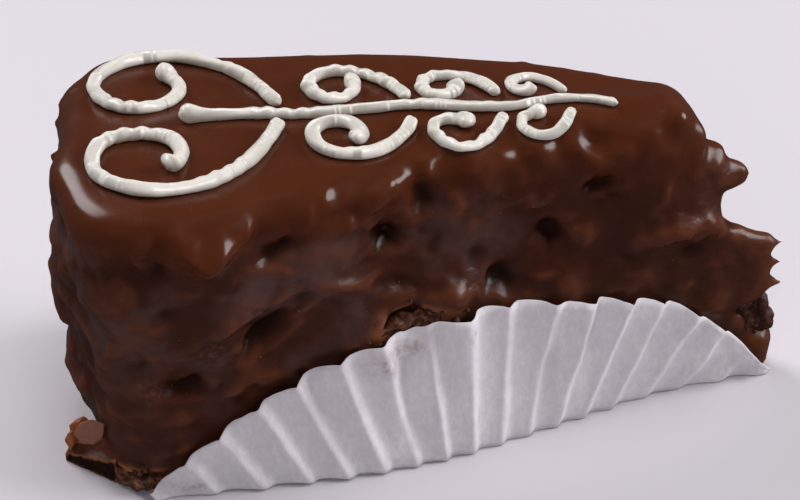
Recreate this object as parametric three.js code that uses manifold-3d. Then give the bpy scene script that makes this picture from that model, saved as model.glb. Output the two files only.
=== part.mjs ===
// One slice of a dipped chocolate torte with piped icing, leaning in its pleated paper case.
//
// Slice frame, in millimetres: the wedge's two long sides meet at the origin, the rim end points
// to -X, +Z is up and the underside of the paper is at z = 0. "Along" is the distance from the
// origin along a long side, and "side" is -1 for the near side (-Y) and +1 for the far side (+Y).
// At the end the whole slice is moved so that the origin is the bottom centre of its bounding box.

import * as THREE from 'three';
import { mergeVertices } from 'three/addons/utils/BufferGeometryUtils.js';
import Module from 'manifold-3d';

const { clamp, degToRad, lerp } = THREE.MathUtils;
const NEAR = -1;
const FAR = 1;

// The slice as a whole
const halfAngle = degToRad(12.6);
const rimRadius = 109; // origin to the rim's corners, at the bottom
const rimFlare = 8; // how far the rim leans out at the top
const rimBulge = { low: 8, high: 1.5, from: 12, to: 48 }; // how far its middle stands out, by height
const height = 51.6; // top face above the table
const flarePower = 1.2; // how the flare grows with height
const edgeRadius = 5.5; // rounding where the top meets the sides
const farEdgeShare = 0.65; // share of that rounding on the far side
const cornerRadii = { bottom: 3.5, top: 7 }; // upright corners of the rim
const gap = 0.3; // left between touching pieces

// Chocolate coat and the sponge inside it
const coatWall = 3;
const footInset = 1.4; // the coat draws in just above the paper
const tipEdgeShare = 0.5; // share of the edge rounding that is left at the tip
const smallestTip = 0.6; // radius of the innermost tip outline

// Where the tip ends, from the bottom up: [height, x, radius]
const tipShape = [
  [0, -3.5, 3.4],
  [7, -2.6, 3.4],
  [12.5, -5.6, 3.2],
  [17, -2.4, 3],
  [24, -2.8, 2.8],
  [28, -8.6, 3.4],
  [33, -13.6, 4],
  [44, -16.6, 4.7],
  [55, -19.6, 4.7],
];

// Outline points: tip, far side, far corner, rim, near corner, near side
const fineCounts = [8, 14, 4, 9, 4, 24];
const coarseCounts = [4, 9, 3, 5, 3, 9];
const fineLevels = [2.4, 6, 9.5, 12.5, 17, 20.5, 24, 28, 32, 36, 40, 43.5];
const coarseLevels = [10, 17, 24, 30, 38, 44];
const edgeTurns = [0, 25, 50, 72, 90].map(degToRad);
const crownScales = [[0.985, 0.8], [0.965, 0.5], [0.95, 0.2]]; // rings across the top: x, y

// Lumps (+) and hollows (-) of the dipped coat: [along, height, reach, rise]
const sideLumps = [
  [100, 46, 5, 1.2], [108, 44.5, 5, -1.1], [90.5, 45, 4.5, -1.3], [64.5, 46, 4.5, -1],
  [53.5, 49, 5, 0.9], [36, 51, 5, -1.2], [36, 43.5, 4.5, -1.2], [84, 41, 6, 0.8],
  [71, 40, 5, -1.3], [79, 35, 5, 1], [44, 35, 5, -1.5], [24, 34, 5, 1.3],
  [17, 33, 4, 1], [96, 32, 5, 1], [90, 28, 5, -1.5], [52, 28, 4.5, -1.2],
  [61, 27, 5, 1.8], [73, 26, 4.5, 1], [41, 25.5, 5, 1.6], [110, 25, 4.5, -1],
  [28, 24, 5, 1], [103, 20, 4.5, -1.2], [12, 19, 4, 0.8],
];
// The same on the rim end: [y, height, reach, rise]
const rimLumps = [
  [-11, 50, 5, 2.2], [-12, 45, 3.5, -1], [-9, 39, 6, 1.3], [-2, 28, 8, 2],
  [12, 44, 6, 1.5], [9, 33, 5, -1.2], [16, 21, 6, 1.4], [-13, 17, 5, -0.9],
  [-4, 11, 6, 1.2],
];
// And on the top: [x, y, reach, rise]
const topLumps = [
  [-62, 14, 34, 0.9], [-25, 0, 5, 1.6], [-31, -4, 4, -0.6], [-37, -3, 6, 1], [-46, 7, 7, 0.7],
  [-62, 0, 12, -0.5], [-80, -3, 13, 0.5], [-97, 5, 14, -0.5], [-112, -8, 7, 0.8],
];

// Drips and teeth of chocolate at the tip: start, end, their radii
const tipDrops = [
  { from: [-21, 0.4, 40.6], to: [-11.2, 0.3, 41], radii: [5, 2.6] },
  { from: [-16, 0.3, 24], to: [-2.7, 0, 25], radii: [4.6, 1.9] },
  { from: [-9, 0.2, 19], to: [-2.5, -0.4, 18.4], radii: [3.8, 2.4] },
  { from: [-9, 0.4, 5.6], to: [-3.4, -0.4, 5], radii: [4.3, 3.7] },
];
const dropSteps = 4;
const dropSides = 10;

// Places where the coat is broken and the crumb shows: middle, size, and turn about +Z
const barePatches = [
  { at: [-65.4, -15.6, 24.2], size: [5.6, 3.4, 2.3], turn: halfAngle },
  { at: [-107.4, -22.6, 1.2], size: [5.4, 4.4, 3.6], turn: -0.6 },
  { at: [-4.6, -1.2, 13.6], size: [5, 4, 1.9], turn: 0 },
];

// Paper case: a pleated disc whose edges are folded up against the two long sides
const paper = {
  thickness: 0.4,
  discRadius: 76,
  foldDistance: 52.5, // disc centre to the fold
  middle: 55, // along the side, the foot of the middle pleat
  turns: [-45.4, 45.6].map(degToRad), // ends of the flap, seen from the disc centre
  stretch: 1.1, // the flap stands taller than the disc's edge
  swell: { share: 0.13, at: 18, reach: 14 }, // and taller still near the tip
  pleats: 17,
  pleatAtFold: 0.15,
  pleatAtEdge: 1.7,
  bow: 7.2, // how far the fold bows away from the slice
  bowMiddle: 67,
  bowReach: 36,
  leastHeight: 1.3,
  steepest: 0.6, // sideways per length of flap, at the most
  clearance: 0.8, // flap to coat, at the least
};
const pleatShape = [[0, 0], [0.34, 0.55], [0.62, 1], [0.8, 0.42]]; // across one pleat: place, rise
const flapRows = [1, 0.5, 0]; // share of the flap's height, edge to fold

// Icing: a central stem with four pairs of scrolls
const rope = { radius: 1.15, flatness: 0.85, sides: 8, step: 2.6, sit: 0.35 };
const stem = { from: -99, to: -32, wave: 0.7, waves: 2.5, steps: 26, hook: 1.5 };
const scrolls = [
  { root: -84, length: 68, turn: 400, radius: 1.2, blob: 2.2 },
  { root: -64, length: 37, turn: 390, radius: 1.15, blob: 1.9 },
  { root: -50, length: 26, turn: 345, radius: 1.05, blob: 1.7 },
  { root: -39.5, length: 17, turn: 300, radius: 0.95, blob: 1.5 },
];
const scrollHeading = 112; // degrees from +X at the stem
const scrollTightening = 1.9;
const scrollRootOffset = 3; // from the stem's middle line
const stemBlob = 2.1;
const handError = { length: 0.02, turn: 6 }; // how far the piping strays, share and degrees

// Broken chocolate at the foot of the rim end. The block's corners: [x, y, height]
const footBlock = [
  [-119.6, -16.6, 1.6], [-111.2, -22.9, 4.4], [-110.9, -20.8, 4.9], [-114.6, -16.4, 5.6],
  [-117.8, -14.6, 4.2],
];
// The flakes on it and behind it: middle, size, turns about the axes, and how much they taper
const footFlakes = {
  foot_shard: { at: [-115.4, -18.2, 7.2], size: [5.2, 1.3, 4.4], turn: [-0.5, 0.2, -0.7], taper: 0.75 },
  foot_nub_a: { at: [-116.3, -12.6, 2.95], size: [2.8, 2.5, 5.7], turn: [0, 0, 0.5], taper: 0.8 },
  foot_nub_b: { at: [-118.9, -13.4, 2], size: [1.5, 1.8, 3.8], turn: [0, 0, 0.2], taper: 0.8 },
};

const colours = {
  chocolate: 0x3f2118,
  crumb: 0x2c1711,
  icing: 0xe9e2d6,
  paper: 0xc6c1c5,
  shard: 0x5a3626,
};

const wasm = await Module();
wasm.setup();

// --- Closed meshes -------------------------------------------------------------------------

// Fills one ring of points with triangles, in the plane that fits it best.
function capRing(ring) {
  const normal = new THREE.Vector3();
  for (let i = 0; i < ring.length; i++) {
    normal.add(new THREE.Vector3().crossVectors(ring[i], ring[(i + 1) % ring.length]));
  }
  normal.normalize();
  const across = new THREE.Vector3(1, 0, 0);
  if (Math.abs(normal.x) > 0.8) across.set(0, 1, 0);
  const u = new THREE.Vector3().crossVectors(across, normal).normalize();
  const v = new THREE.Vector3().crossVectors(normal, u);
  const flat = ring.map((point) => new THREE.Vector2(point.dot(u), point.dot(v)));
  return THREE.ShapeUtils.triangulateShape(flat, []);
}

// Joins rings of equally many points into one closed skin. Seen from the last ring's end, the
// points run counter-clockwise.
function loft(rings) {
  const count = rings[0].length;
  const index = [];
  for (let level = 0; level < rings.length - 1; level++) {
    for (let i = 0; i < count; i++) {
      const a = level * count + i;
      const b = level * count + (i + 1) % count;
      index.push(a, b, b + count, a, b + count, a + count);
    }
  }
  const last = (rings.length - 1) * count;
  for (const [a, b, c] of capRing(rings[0])) index.push(c, b, a);
  for (const [a, b, c] of capRing(rings[rings.length - 1])) index.push(last + a, last + b, last + c);
  const geometry = new THREE.BufferGeometry().setFromPoints(rings.flat());
  geometry.setIndex(index);
  return geometry;
}

function toSolid(geometry) {
  const bare = geometry.clone();
  bare.deleteAttribute('normal');
  bare.deleteAttribute('uv');
  const merged = mergeVertices(bare);
  return new wasm.Manifold(new wasm.Mesh({
    numProp: 3,
    vertProperties: Float32Array.from(merged.attributes.position.array),
    triVerts: Uint32Array.from(merged.index.array),
  }));
}

function fromSolid(solid) {
  const mesh = solid.getMesh();
  const geometry = new THREE.BufferGeometry();
  geometry.setAttribute('position', new THREE.BufferAttribute(mesh.vertProperties, 3));
  geometry.setIndex(new THREE.BufferAttribute(mesh.triVerts, 1));
  return geometry;
}

function named(name, geometry, colour, roughness) {
  geometry.computeVertexNormals();
  const material = new THREE.MeshStandardMaterial({ color: colour, roughness, metalness: 0 });
  const mesh = new THREE.Mesh(geometry, material);
  mesh.name = name;
  return mesh;
}

// A tapering rod with round ends, drawn through the points with one radius for each.
function taperedRod(points, radii, sides, flatness) {
  const rings = [];
  const ringAt = (centre, along, radius) => {
    const across = new THREE.Vector3(0, 0, 1).cross(along).normalize();
    const up = new THREE.Vector3().crossVectors(along, across);
    return Array.from({ length: sides }, (_, i) => {
      const turn = 2 * Math.PI * i / sides;
      return centre.clone()
        .addScaledVector(across, radius * Math.cos(turn))
        .addScaledVector(up, radius * flatness * Math.sin(turn));
    });
  };
  const heading = (i) => {
    const before = points[Math.max(i - 1, 0)];
    const after = points[Math.min(i + 1, points.length - 1)];
    return after.clone().sub(before).normalize();
  };
  const roundEnd = (i, sign) => [0.45, 0.85].map((share) => {
    const centre = points[i].clone().addScaledVector(heading(i), sign * radii[i] * share);
    return ringAt(centre, heading(i), radii[i] * Math.sqrt(1 - share * share));
  });
  const last = points.length - 1;
  rings.push(...roundEnd(0, -1).reverse());
  points.forEach((point, i) => rings.push(ringAt(point, heading(i), radii[i])));
  rings.push(...roundEnd(last, 1));
  return loft(rings);
}

// --- The dipped wedge ----------------------------------------------------------------------

const bell = (distance, reach) => Math.exp(-((distance / reach) ** 2));

function tipAt(z) {
  const upper = Math.max(1, tipShape.findIndex(([level]) => level >= z));
  const [z0, x0, r0] = tipShape[upper - 1];
  const [z1, x1, r1] = tipShape[upper];
  const share = clamp((z - z0) / (z1 - z0), 0, 1);
  return { x: lerp(x0, x1, share), radius: lerp(r0, r1, share) };
}

// How far a long side leans out of its upright plane.
function sideFlare(side, along, z) {
  const nearFlare = 7.2 * bell(along - 97, 24) + 2.2 * bell(along - 30, 11) - 0.8 * bell(along - 54, 8);
  const farFlare = 9.2 * bell(along - 54, 46);
  return (side === NEAR ? nearFlare : farFlare) * (clamp(z, 0, height) / height) ** flarePower;
}

const rimAt = (z) => rimRadius + rimFlare * (clamp(z, 0, height) / height) ** flarePower;
const cornerAt = (z) => lerp(cornerRadii.bottom, cornerRadii.top, clamp(z / height, 0, 1));

// How far the rim end stands out beyond its arc, at one place across it.
function bulgeAt(y, z) {
  const { low, high, from, to } = rimBulge;
  const halfWidth = rimAt(z) * Math.sin(halfAngle);
  const share = clamp((z - from) / (to - from), 0, 1);
  return lerp(low, high, share) * Math.max(0, 1 - (y / halfWidth) ** 2);
}

function sidePoint(side, along, z, out = 0) {
  const beyond = sideFlare(side, along, z) + out;
  return new THREE.Vector3(
    -along * Math.cos(halfAngle) + beyond * Math.sin(halfAngle),
    side * (along * Math.sin(halfAngle) + beyond * Math.cos(halfAngle)),
    z,
  );
}

const farShift = 61; // the far side repeats the near side's lumps, moved along and lower
const farLumps = sideLumps.map(([along, z, reach, rise]) => (
  [12 + (along + farShift) % 98, 12 + (z + 17) % 36, reach, rise]
));
const lumps = [
  ...sideLumps.map(([along, z, reach, rise]) => ({ at: sidePoint(NEAR, along, z), reach, rise })),
  ...farLumps.map(([along, z, reach, rise]) => ({ at: sidePoint(FAR, along, z), reach, rise })),
  ...rimLumps.map(([y, z, reach, rise]) => (
    { at: new THREE.Vector3(-Math.sqrt(rimAt(z) ** 2 - y * y) - bulgeAt(y, z), y, z), reach, rise }
  )),
];

const lumpRise = (point) => lumps.reduce(
  (sum, lump) => sum + lump.rise * bell(lump.at.distanceTo(point), lump.reach),
  0,
);

const topRise = (x, y) => topLumps.reduce(
  (sum, [lumpX, lumpY, reach, rise]) => sum + rise * bell(Math.hypot(x - lumpX, y - lumpY), reach),
  0,
);

// The smooth outline of the slice at one height, drawn in by the inset, as points with outward
// normals: an arc round the tip, two straight sides, two round corners and the arc of the rim.
function outline(z, inset, counts) {
  const [tipCount, farCount, farCornerCount, rimCount, nearCornerCount, nearCount] = counts;
  const tip = tipAt(z);
  const tipRadius = Math.max(tip.radius - inset, smallestTip);
  const setBack = Math.max(0, inset + smallestTip - tip.radius) / Math.sin(halfAngle);
  const tipCentre = new THREE.Vector2(tip.x - tip.radius - setBack, 0);
  const rim = rimAt(z) - inset;
  const cornerRadius = Math.max(cornerAt(z) - inset, smallestTip);
  const cornerAngle = halfAngle - Math.asin((cornerRadius + inset) / (rim - cornerRadius));
  const cornerCentre = new THREE.Vector2(-Math.cos(cornerAngle), Math.sin(cornerAngle))
    .multiplyScalar(rim - cornerRadius);
  const toCorner = cornerCentre.clone().sub(tipCentre);
  const sideTurn = toCorner.angle() - Math.acos((tipRadius - cornerRadius) / toCorner.length());
  const mirror = (v) => new THREE.Vector2(v.x, -v.y);
  const points = [];
  const arc = (centre, radius, from, to, count) => {
    for (let i = 0; i < count; i++) {
      const turn = lerp(from, to, i / count);
      const normal = new THREE.Vector2(Math.cos(turn), Math.sin(turn));
      points.push({ at: centre.clone().addScaledVector(normal, radius), normal });
    }
  };
  const straight = (from, to, normal, count) => {
    for (let i = 0; i < count; i++) {
      points.push({ at: from.clone().lerp(to, i / count), normal });
    }
  };
  const farNormal = new THREE.Vector2(Math.cos(sideTurn), Math.sin(sideTurn));
  const tipEnd = tipCentre.clone().addScaledVector(farNormal, tipRadius);
  const cornerStart = cornerCentre.clone().addScaledVector(farNormal, cornerRadius);
  arc(tipCentre, tipRadius, -sideTurn, sideTurn, tipCount);
  straight(tipEnd, cornerStart, farNormal, farCount);
  arc(cornerCentre, cornerRadius, sideTurn, Math.PI - cornerAngle, farCornerCount);
  arc(new THREE.Vector2(), rim, Math.PI - cornerAngle, Math.PI + cornerAngle, rimCount);
  arc(mirror(cornerCentre), cornerRadius, Math.PI + cornerAngle, 2 * Math.PI - sideTurn, nearCornerCount);
  straight(mirror(cornerStart), mirror(tipEnd), mirror(farNormal), nearCount);
  return points;
}

// Widens a point of the outline by the flare of its side, and bulges the rim end.
function flared(at, z) {
  const rimStart = 96;
  const rimEnd = 106;
  const side = at.y < 0 ? NEAR : FAR;
  const halfWidth = Math.max(-at.x * Math.tan(halfAngle), 3);
  const share = clamp(Math.abs(at.y) / halfWidth, 0, 1);
  const wider = at.y + side * share * sideFlare(side, -at.x / Math.cos(halfAngle), z);
  const rimShare = clamp((-at.x - rimStart) / (rimEnd - rimStart), 0, 1);
  return new THREE.Vector3(at.x - rimShare * bulgeAt(at.y, z), wider, z);
}

// Share of the top edge's rounding at one place: full on the near side, less at the tip.
function edgeShareAt(at, normal) {
  const tipShare = clamp(-at.x / 55, tipEdgeShare, 1);
  return tipShare * lerp(1, farEdgeShare, clamp((normal.y + 1) / 2, 0, 1));
}

// The coat's outside: upright levels, the rounded top edge, and rings across the crown.
function coatOutside() {
  const ring = (z, edgeInset, crown) => outline(z, 0, fineCounts).map(({ at, normal }) => {
    const point = flared(at, z);
    const move = lumpRise(point) - edgeInset * edgeShareAt(at, normal);
    point.x += normal.x * move;
    point.y += normal.y * move;
    point.z += crown * topRise(point.x, point.y);
    return point;
  });
  const edgeBase = height - edgeRadius;
  const footTop = paper.thickness + gap;
  const rings = [ring(footTop, footInset, 0)];
  rings.push(...fineLevels.map((z) => ring(z, 0, 0)));
  for (const turn of edgeTurns) {
    const z = edgeBase + edgeRadius * Math.sin(turn);
    rings.push(ring(z, edgeRadius * (1 - Math.cos(turn)), Math.sin(turn)));
  }
  const topRing = rings[rings.length - 1];
  const middleX = -68;
  for (const [scaleX, scaleY] of crownScales) {
    rings.push(topRing.map((point) => {
      const x = lerp(middleX, point.x, scaleX);
      const y = point.y * scaleY;
      return new THREE.Vector3(x, y, height + topRise(x, y));
    }));
  }
  return loft(rings);
}

// The sponge, or the room for it inside the coat when it is grown by the gap.
function spongeSolid(inset, bottom) {
  const ring = (z, edgeInset) => outline(z, inset, coarseCounts).map(({ at, normal }) => {
    const point = flared(at, z);
    point.x -= normal.x * edgeInset * edgeShareAt(at, normal);
    point.y -= normal.y * edgeInset * edgeShareAt(at, normal);
    return point;
  });
  const top = height - inset;
  const spongeEdge = 3;
  const rings = [ring(bottom, 0)];
  rings.push(...coarseLevels.map((z) => ring(z, 0)));
  rings.push(ring(top - spongeEdge / 3, spongeEdge / 3));
  rings.push(ring(top, spongeEdge));
  return loft(rings);
}

function chocolateCoat() {
  let coat = toSolid(coatOutside());
  for (const { from, to, radii } of tipDrops) {
    const start = new THREE.Vector3(...from);
    const end = new THREE.Vector3(...to);
    const steps = Array.from({ length: dropSteps + 1 }, (_, i) => i / dropSteps);
    const points = steps.map((share) => start.clone().lerp(end, share));
    const thickness = steps.map((share) => lerp(radii[0], radii[1], share ** 1.5));
    coat = coat.add(toSolid(taperedRod(points, thickness, dropSides, 1)));
  }
  coat = coat.subtract(toSolid(spongeSolid(coatWall, -1)));
  for (const { at, size, turn } of barePatches) {
    const patch = new THREE.IcosahedronGeometry(1, 1);
    patch.scale(...size).rotateZ(turn).translate(...at);
    coat = coat.subtract(toSolid(patch));
  }
  return fromSolid(coat);
}

// --- Probing the coat ----------------------------------------------------------------------

const probeDistance = 90;
const probeCross = [[0, 0], [1, 0], [-1, 0], [0, 1], [0, -1]];

// Height of the coat under a rope: the highest spot within the rope's width.
function coatTop(coat, x, y, radius) {
  const down = new THREE.Vector3(0, 0, -1);
  let top = 0;
  for (const [stepX, stepY] of probeCross) {
    const from = new THREE.Vector3(x + stepX * radius, y + stepY * radius, probeDistance);
    const hit = new THREE.Raycaster(from, down).intersectObject(coat)[0];
    if (hit) top = Math.max(top, hit.point.z);
  }
  return top;
}

// How far the coat stands out of a long side's plane, at the most, round one spot.
function coatOut(coat, side, along, z) {
  const footTop = 1.2;
  const step = 1.6;
  let out = -1;
  for (const [stepAlong, stepUp] of probeCross) {
    const at = sidePoint(side, along + step * stepAlong, 0);
    const from = sidePoint(side, along + step * stepAlong, 0, probeDistance);
    const inwards = at.clone().sub(from).normalize();
    from.setZ(Math.max(z + step * stepUp, footTop));
    const hit = new THREE.Raycaster(from, inwards).intersectObject(coat)[0];
    if (hit) out = Math.max(out, probeDistance - hit.distance);
  }
  return out;
}

// --- Paper case ----------------------------------------------------------------------------

const stretchAt = (along) => (
  paper.stretch + paper.swell.share * bell(along - paper.swell.at, paper.swell.reach)
);

// Height of the flap above the fold, measured on the paper.
function flapHeight(along) {
  const reach = Math.sqrt(paper.discRadius ** 2 - (along - paper.middle) ** 2);
  return Math.max((reach - paper.foldDistance) * stretchAt(along), paper.leastHeight);
}

// One column of a flap, from its edge to its fold, as pairs of outer and inner points.
function flapColumn(coat, side, turn, pleatRise) {
  return flapRows.map((share) => {
    const reach = lerp(paper.foldDistance / Math.cos(turn), paper.discRadius, share);
    const along = paper.middle + reach * Math.sin(turn);
    const rise = (reach * Math.cos(turn) - paper.foldDistance) * stretchAt(along);
    const up = Math.max(rise, share * paper.leastHeight);
    const tall = flapHeight(along);
    const foldOut = paper.clearance + paper.bow * bell(along - paper.bowMiddle, paper.bowReach);
    const edgeOut = coatOut(coat, side, along, tall) + paper.clearance;
    const lean = clamp((foldOut - edgeOut) / tall, -paper.steepest, paper.steepest);
    const z = up * Math.sqrt(1 - lean * lean);
    const pleat = pleatRise * lerp(paper.pleatAtFold, paper.pleatAtEdge, up / flapHeight(paper.middle));
    const out = pleat + Math.max(foldOut - up * lean, coatOut(coat, side, along, z) + paper.clearance);
    const outer = sidePoint(side, along, 0, out + paper.thickness).setZ(z);
    const inner = sidePoint(side, along, 0, out).setZ(share === 0 ? paper.thickness : z);
    return { outer, inner };
  });
}

function paperCase(coat) {
  const columns = [];
  const [firstTurn, lastTurn] = paper.turns;
  const pleatTurn = (lastTurn - firstTurn) / paper.pleats;
  for (let pleat = 0; pleat <= paper.pleats; pleat++) {
    for (const [place, rise] of pleatShape) {
      if (pleat === paper.pleats && place > 0) break;
      const turn = firstTurn + (pleat + place) * pleatTurn;
      const near = flapColumn(coat, NEAR, turn, rise);
      const far = flapColumn(coat, FAR, turn, rise).reverse();
      columns.push([...near, ...far]);
    }
  }
  // Each column becomes one closed ring: along the outside, then back along the inside.
  return loft(columns.map((column) => [
    ...column.map(({ inner }) => inner),
    ...column.map(({ outer }) => outer).reverse(),
  ]));
}

// --- Icing ---------------------------------------------------------------------------------

function layRope(coat, flatPoints, radii) {
  const points = flatPoints.map(([x, y], i) => {
    const z = coatTop(coat, x, y, radii[i]) + rope.sit + radii[i] * rope.flatness;
    return new THREE.Vector3(x, y, z);
  });
  return taperedRod(points, radii, rope.sides, rope.flatness);
}

function stemRope(coat) {
  const points = [];
  const radii = [];
  for (let i = 0; i <= stem.steps; i++) {
    const share = i / stem.steps;
    const hook = stem.hook * clamp((share - 0.86) / 0.14, 0, 1) ** 2;
    points.push([
      lerp(stem.from, stem.to, share),
      stem.wave * Math.sin(2 * Math.PI * stem.waves * share) - hook,
    ]);
    radii.push(rope.radius * lerp(1.05, 0.75, share) + (stemBlob - rope.radius) * bell(share, 0.04));
  }
  return layRope(coat, points, radii);
}

// A scroll leaves the stem, sweeps towards the rim and winds up ever tighter.
function scrollRope(coat, side, { root, length, turn, radius, blob }, pair) {
  const stray = side * (pair % 2 === 0 ? 1 : -1);
  const steps = Math.round(length / rope.step);
  const stepLength = length * (1 + stray * handError.length) / steps;
  const points = [[root, side * scrollRootOffset]];
  const radii = [radius];
  for (let i = 1; i <= steps; i++) {
    const share = i / steps;
    const wound = (turn + stray * handError.turn) * share ** scrollTightening;
    const heading = degToRad(scrollHeading + wound);
    const [x, y] = points[i - 1];
    points.push([x + stepLength * Math.cos(heading), y + side * stepLength * Math.sin(heading)]);
    radii.push(radius + (blob - radius) * bell(1 - share, 2 / length));
  }
  return layRope(coat, points, radii);
}

// --- Broken chocolate ----------------------------------------------------------------------

function blockGeometry() {
  const bottom = footBlock.map(([x, y]) => new THREE.Vector3(x, y, 0));
  const top = footBlock.map(([x, y, z]) => new THREE.Vector3(x, y, z));
  return loft([bottom, top]);
}

// A flake whose top is smaller than its bottom, with its upright corners cut back.
function flakeGeometry({ size, turn, taper }) {
  const geometry = new THREE.BoxGeometry(...size, 2, 2, 1);
  const position = geometry.attributes.position;
  const cornerShare = 0.86;
  for (let i = 0; i < position.count; i++) {
    const atCorner = Math.abs(position.getX(i)) > 0 && Math.abs(position.getY(i)) > 0;
    const scale = (atCorner ? cornerShare : 1) * (position.getZ(i) > 0 ? taper : 1);
    position.setX(i, position.getX(i) * scale);
    position.setY(i, position.getY(i) * scale);
  }
  return geometry.rotateX(turn[0]).rotateY(turn[1]).rotateZ(turn[2]);
}

// --- The slice -----------------------------------------------------------------------------

const slice = new THREE.Group();
const coat = named('chocolate_coat', chocolateCoat(), colours.chocolate, 0.35);
slice.add(coat);
slice.add(named('sponge', spongeSolid(coatWall + gap, paper.thickness + gap), colours.crumb, 0.95));
slice.add(named('paper_case', paperCase(coat), colours.paper, 0.85));
slice.add(named('icing_stem', stemRope(coat), colours.icing, 0.4));
scrolls.forEach((scroll, pair) => {
  for (const [sideName, side] of [['near', NEAR], ['far', FAR]]) {
    const geometry = scrollRope(coat, side, scroll, pair);
    slice.add(named(`icing_scroll_${sideName}_${pair + 1}`, geometry, colours.icing, 0.4));
  }
});
slice.add(named('foot_block', blockGeometry(), colours.shard, 0.5));
for (const [name, flake] of Object.entries(footFlakes)) {
  const mesh = named(name, flakeGeometry(flake), colours.shard, 0.5);
  mesh.position.set(...flake.at);
  slice.add(mesh);
}

const bounds = new THREE.Box3().setFromObject(slice, true);
const middle = bounds.getCenter(new THREE.Vector3());
slice.position.set(-middle.x, -middle.y, -bounds.min.z);

const torte = new THREE.Group();
torte.add(slice);

export default torte;
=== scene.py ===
import math
import random

import bmesh
import bpy
import numpy as np
from mathutils import Matrix, Vector, noise
from mathutils.bvhtree import BVHTree


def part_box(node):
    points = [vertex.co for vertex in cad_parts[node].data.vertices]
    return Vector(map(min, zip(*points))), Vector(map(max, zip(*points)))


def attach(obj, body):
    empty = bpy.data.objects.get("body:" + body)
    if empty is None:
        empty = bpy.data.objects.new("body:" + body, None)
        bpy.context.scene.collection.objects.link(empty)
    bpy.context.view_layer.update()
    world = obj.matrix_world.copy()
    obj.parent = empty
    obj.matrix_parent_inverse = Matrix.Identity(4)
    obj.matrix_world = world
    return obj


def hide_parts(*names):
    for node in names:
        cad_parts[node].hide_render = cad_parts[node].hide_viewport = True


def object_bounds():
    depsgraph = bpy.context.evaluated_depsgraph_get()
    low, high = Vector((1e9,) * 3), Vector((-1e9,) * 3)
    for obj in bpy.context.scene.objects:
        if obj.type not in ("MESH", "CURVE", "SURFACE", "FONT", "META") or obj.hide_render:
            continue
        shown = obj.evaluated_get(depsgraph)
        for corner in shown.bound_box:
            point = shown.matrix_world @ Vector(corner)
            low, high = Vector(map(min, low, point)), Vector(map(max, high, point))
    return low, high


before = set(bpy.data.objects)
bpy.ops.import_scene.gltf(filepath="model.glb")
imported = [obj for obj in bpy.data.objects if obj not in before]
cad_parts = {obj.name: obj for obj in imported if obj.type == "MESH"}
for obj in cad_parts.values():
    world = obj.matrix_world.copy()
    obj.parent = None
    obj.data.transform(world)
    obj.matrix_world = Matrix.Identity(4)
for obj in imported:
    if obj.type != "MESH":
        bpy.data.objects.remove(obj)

cadBox = [list(corner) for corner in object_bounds()]
mm = 0.001
near, far, rim = -1, 1, 0  # the two long sides and the rim end

# The wedge itself: lengths in mm, measured from the apex where the two long sides meet
wedge = {
    "halfAngle": math.radians(12.6),
    "height": 51.6,
    "apexBehindTip": 0.04,  # from the coat's outermost point
    "apexAcross": 1.03,  # from the middle of the whole box
    "flarePower": 1.2,
}
_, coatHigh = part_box("chocolate_coat")
apex = Vector((
    coatHigh.x / mm - wedge["apexBehindTip"],
    (cadBox[0][1] + cadBox[1][1]) / 2 / mm + wedge["apexAcross"],
    0,
))
cosHalf = math.cos(wedge["halfAngle"])
sinHalf = math.sin(wedge["halfAngle"])
# How the two long sides lean out towards the top: middle along the side, reach, how far
sideFlares = {
    near: [(97, 24, 7.2), (30, 11, 2.2), (54, 8, -0.8)],
    far: [(54, 46, 9.2)],
}


def bell(distance, reach):
    return np.exp(-((distance / reach) ** 2))


def smooth(low, high, value):
    share = np.clip((value - low) / (high - low), 0, 1)
    return share * share * (3 - 2 * share)


def mix(a, b, share):
    return a + (b - a) * share


def sideFlare(side, along, z):  # how far a long side leans out of its upright plane
    flare = sum(out * bell(along - middle, reach) for middle, reach, out in sideFlares[side])
    return flare * np.clip(z / wedge["height"], 0, 1) ** wedge["flarePower"]


def onSide(side, along, z, out=0.0):  # a point on a long side's own plane, in mm
    return Vector((
        -along * cosHalf + out * sinHalf,
        side * (along * sinHalf + out * cosHalf),
        z,
    ))


def alongSide(side, points):  # how far points lie along a long side
    return side * points[:, 1] * sinHalf - points[:, 0] * cosHalf


def toWorld(point):
    return (Vector(point) + apex) * mm


# Small tools for meshes
def mergedCopy(nodeName, grow=0.0):  # a clean copy of a node, grown along its normals
    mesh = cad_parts[nodeName].data
    bm = bmesh.new()
    bm.from_mesh(mesh)
    bmesh.ops.remove_doubles(bm, verts=bm.verts, dist=0.002 * mm)
    bm.normal_update()
    if grow:
        moves = [(vert, vert.normal * grow * mm) for vert in bm.verts]
        for vert, move in moves:
            vert.co += move
    return bm


def objectFrom(name, bm):
    mesh = bpy.data.meshes.new(name)
    bm.to_mesh(mesh)
    bm.free()
    piece = bpy.data.objects.new(name, mesh)
    bpy.context.scene.collection.objects.link(piece)
    return piece


def applyModifiers(piece):
    graph = bpy.context.evaluated_depsgraph_get()
    mesh = bpy.data.meshes.new_from_object(piece.evaluated_get(graph))
    piece.modifiers.clear()
    old = piece.data
    piece.data = mesh
    bpy.data.meshes.remove(old)
    return piece


def remeshed(piece, voxel, smoothing):
    remesh = piece.modifiers.new("remesh", "REMESH")
    remesh.mode = "VOXEL"
    remesh.voxel_size = voxel * mm
    if smoothing:
        soften = piece.modifiers.new("soften", "SMOOTH")
        soften.factor = 0.5
        soften.iterations = smoothing
    return applyModifiers(piece)


def readPoints(mesh):  # vertex places in mm from the apex
    flat = np.zeros(len(mesh.vertices) * 3)
    mesh.vertices.foreach_get("co", flat)
    return flat.reshape(-1, 3) / mm - np.array(apex)


def writePoints(mesh, points):
    mesh.vertices.foreach_set("co", ((points + np.array(apex)) * mm).ravel())
    mesh.update()


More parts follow.
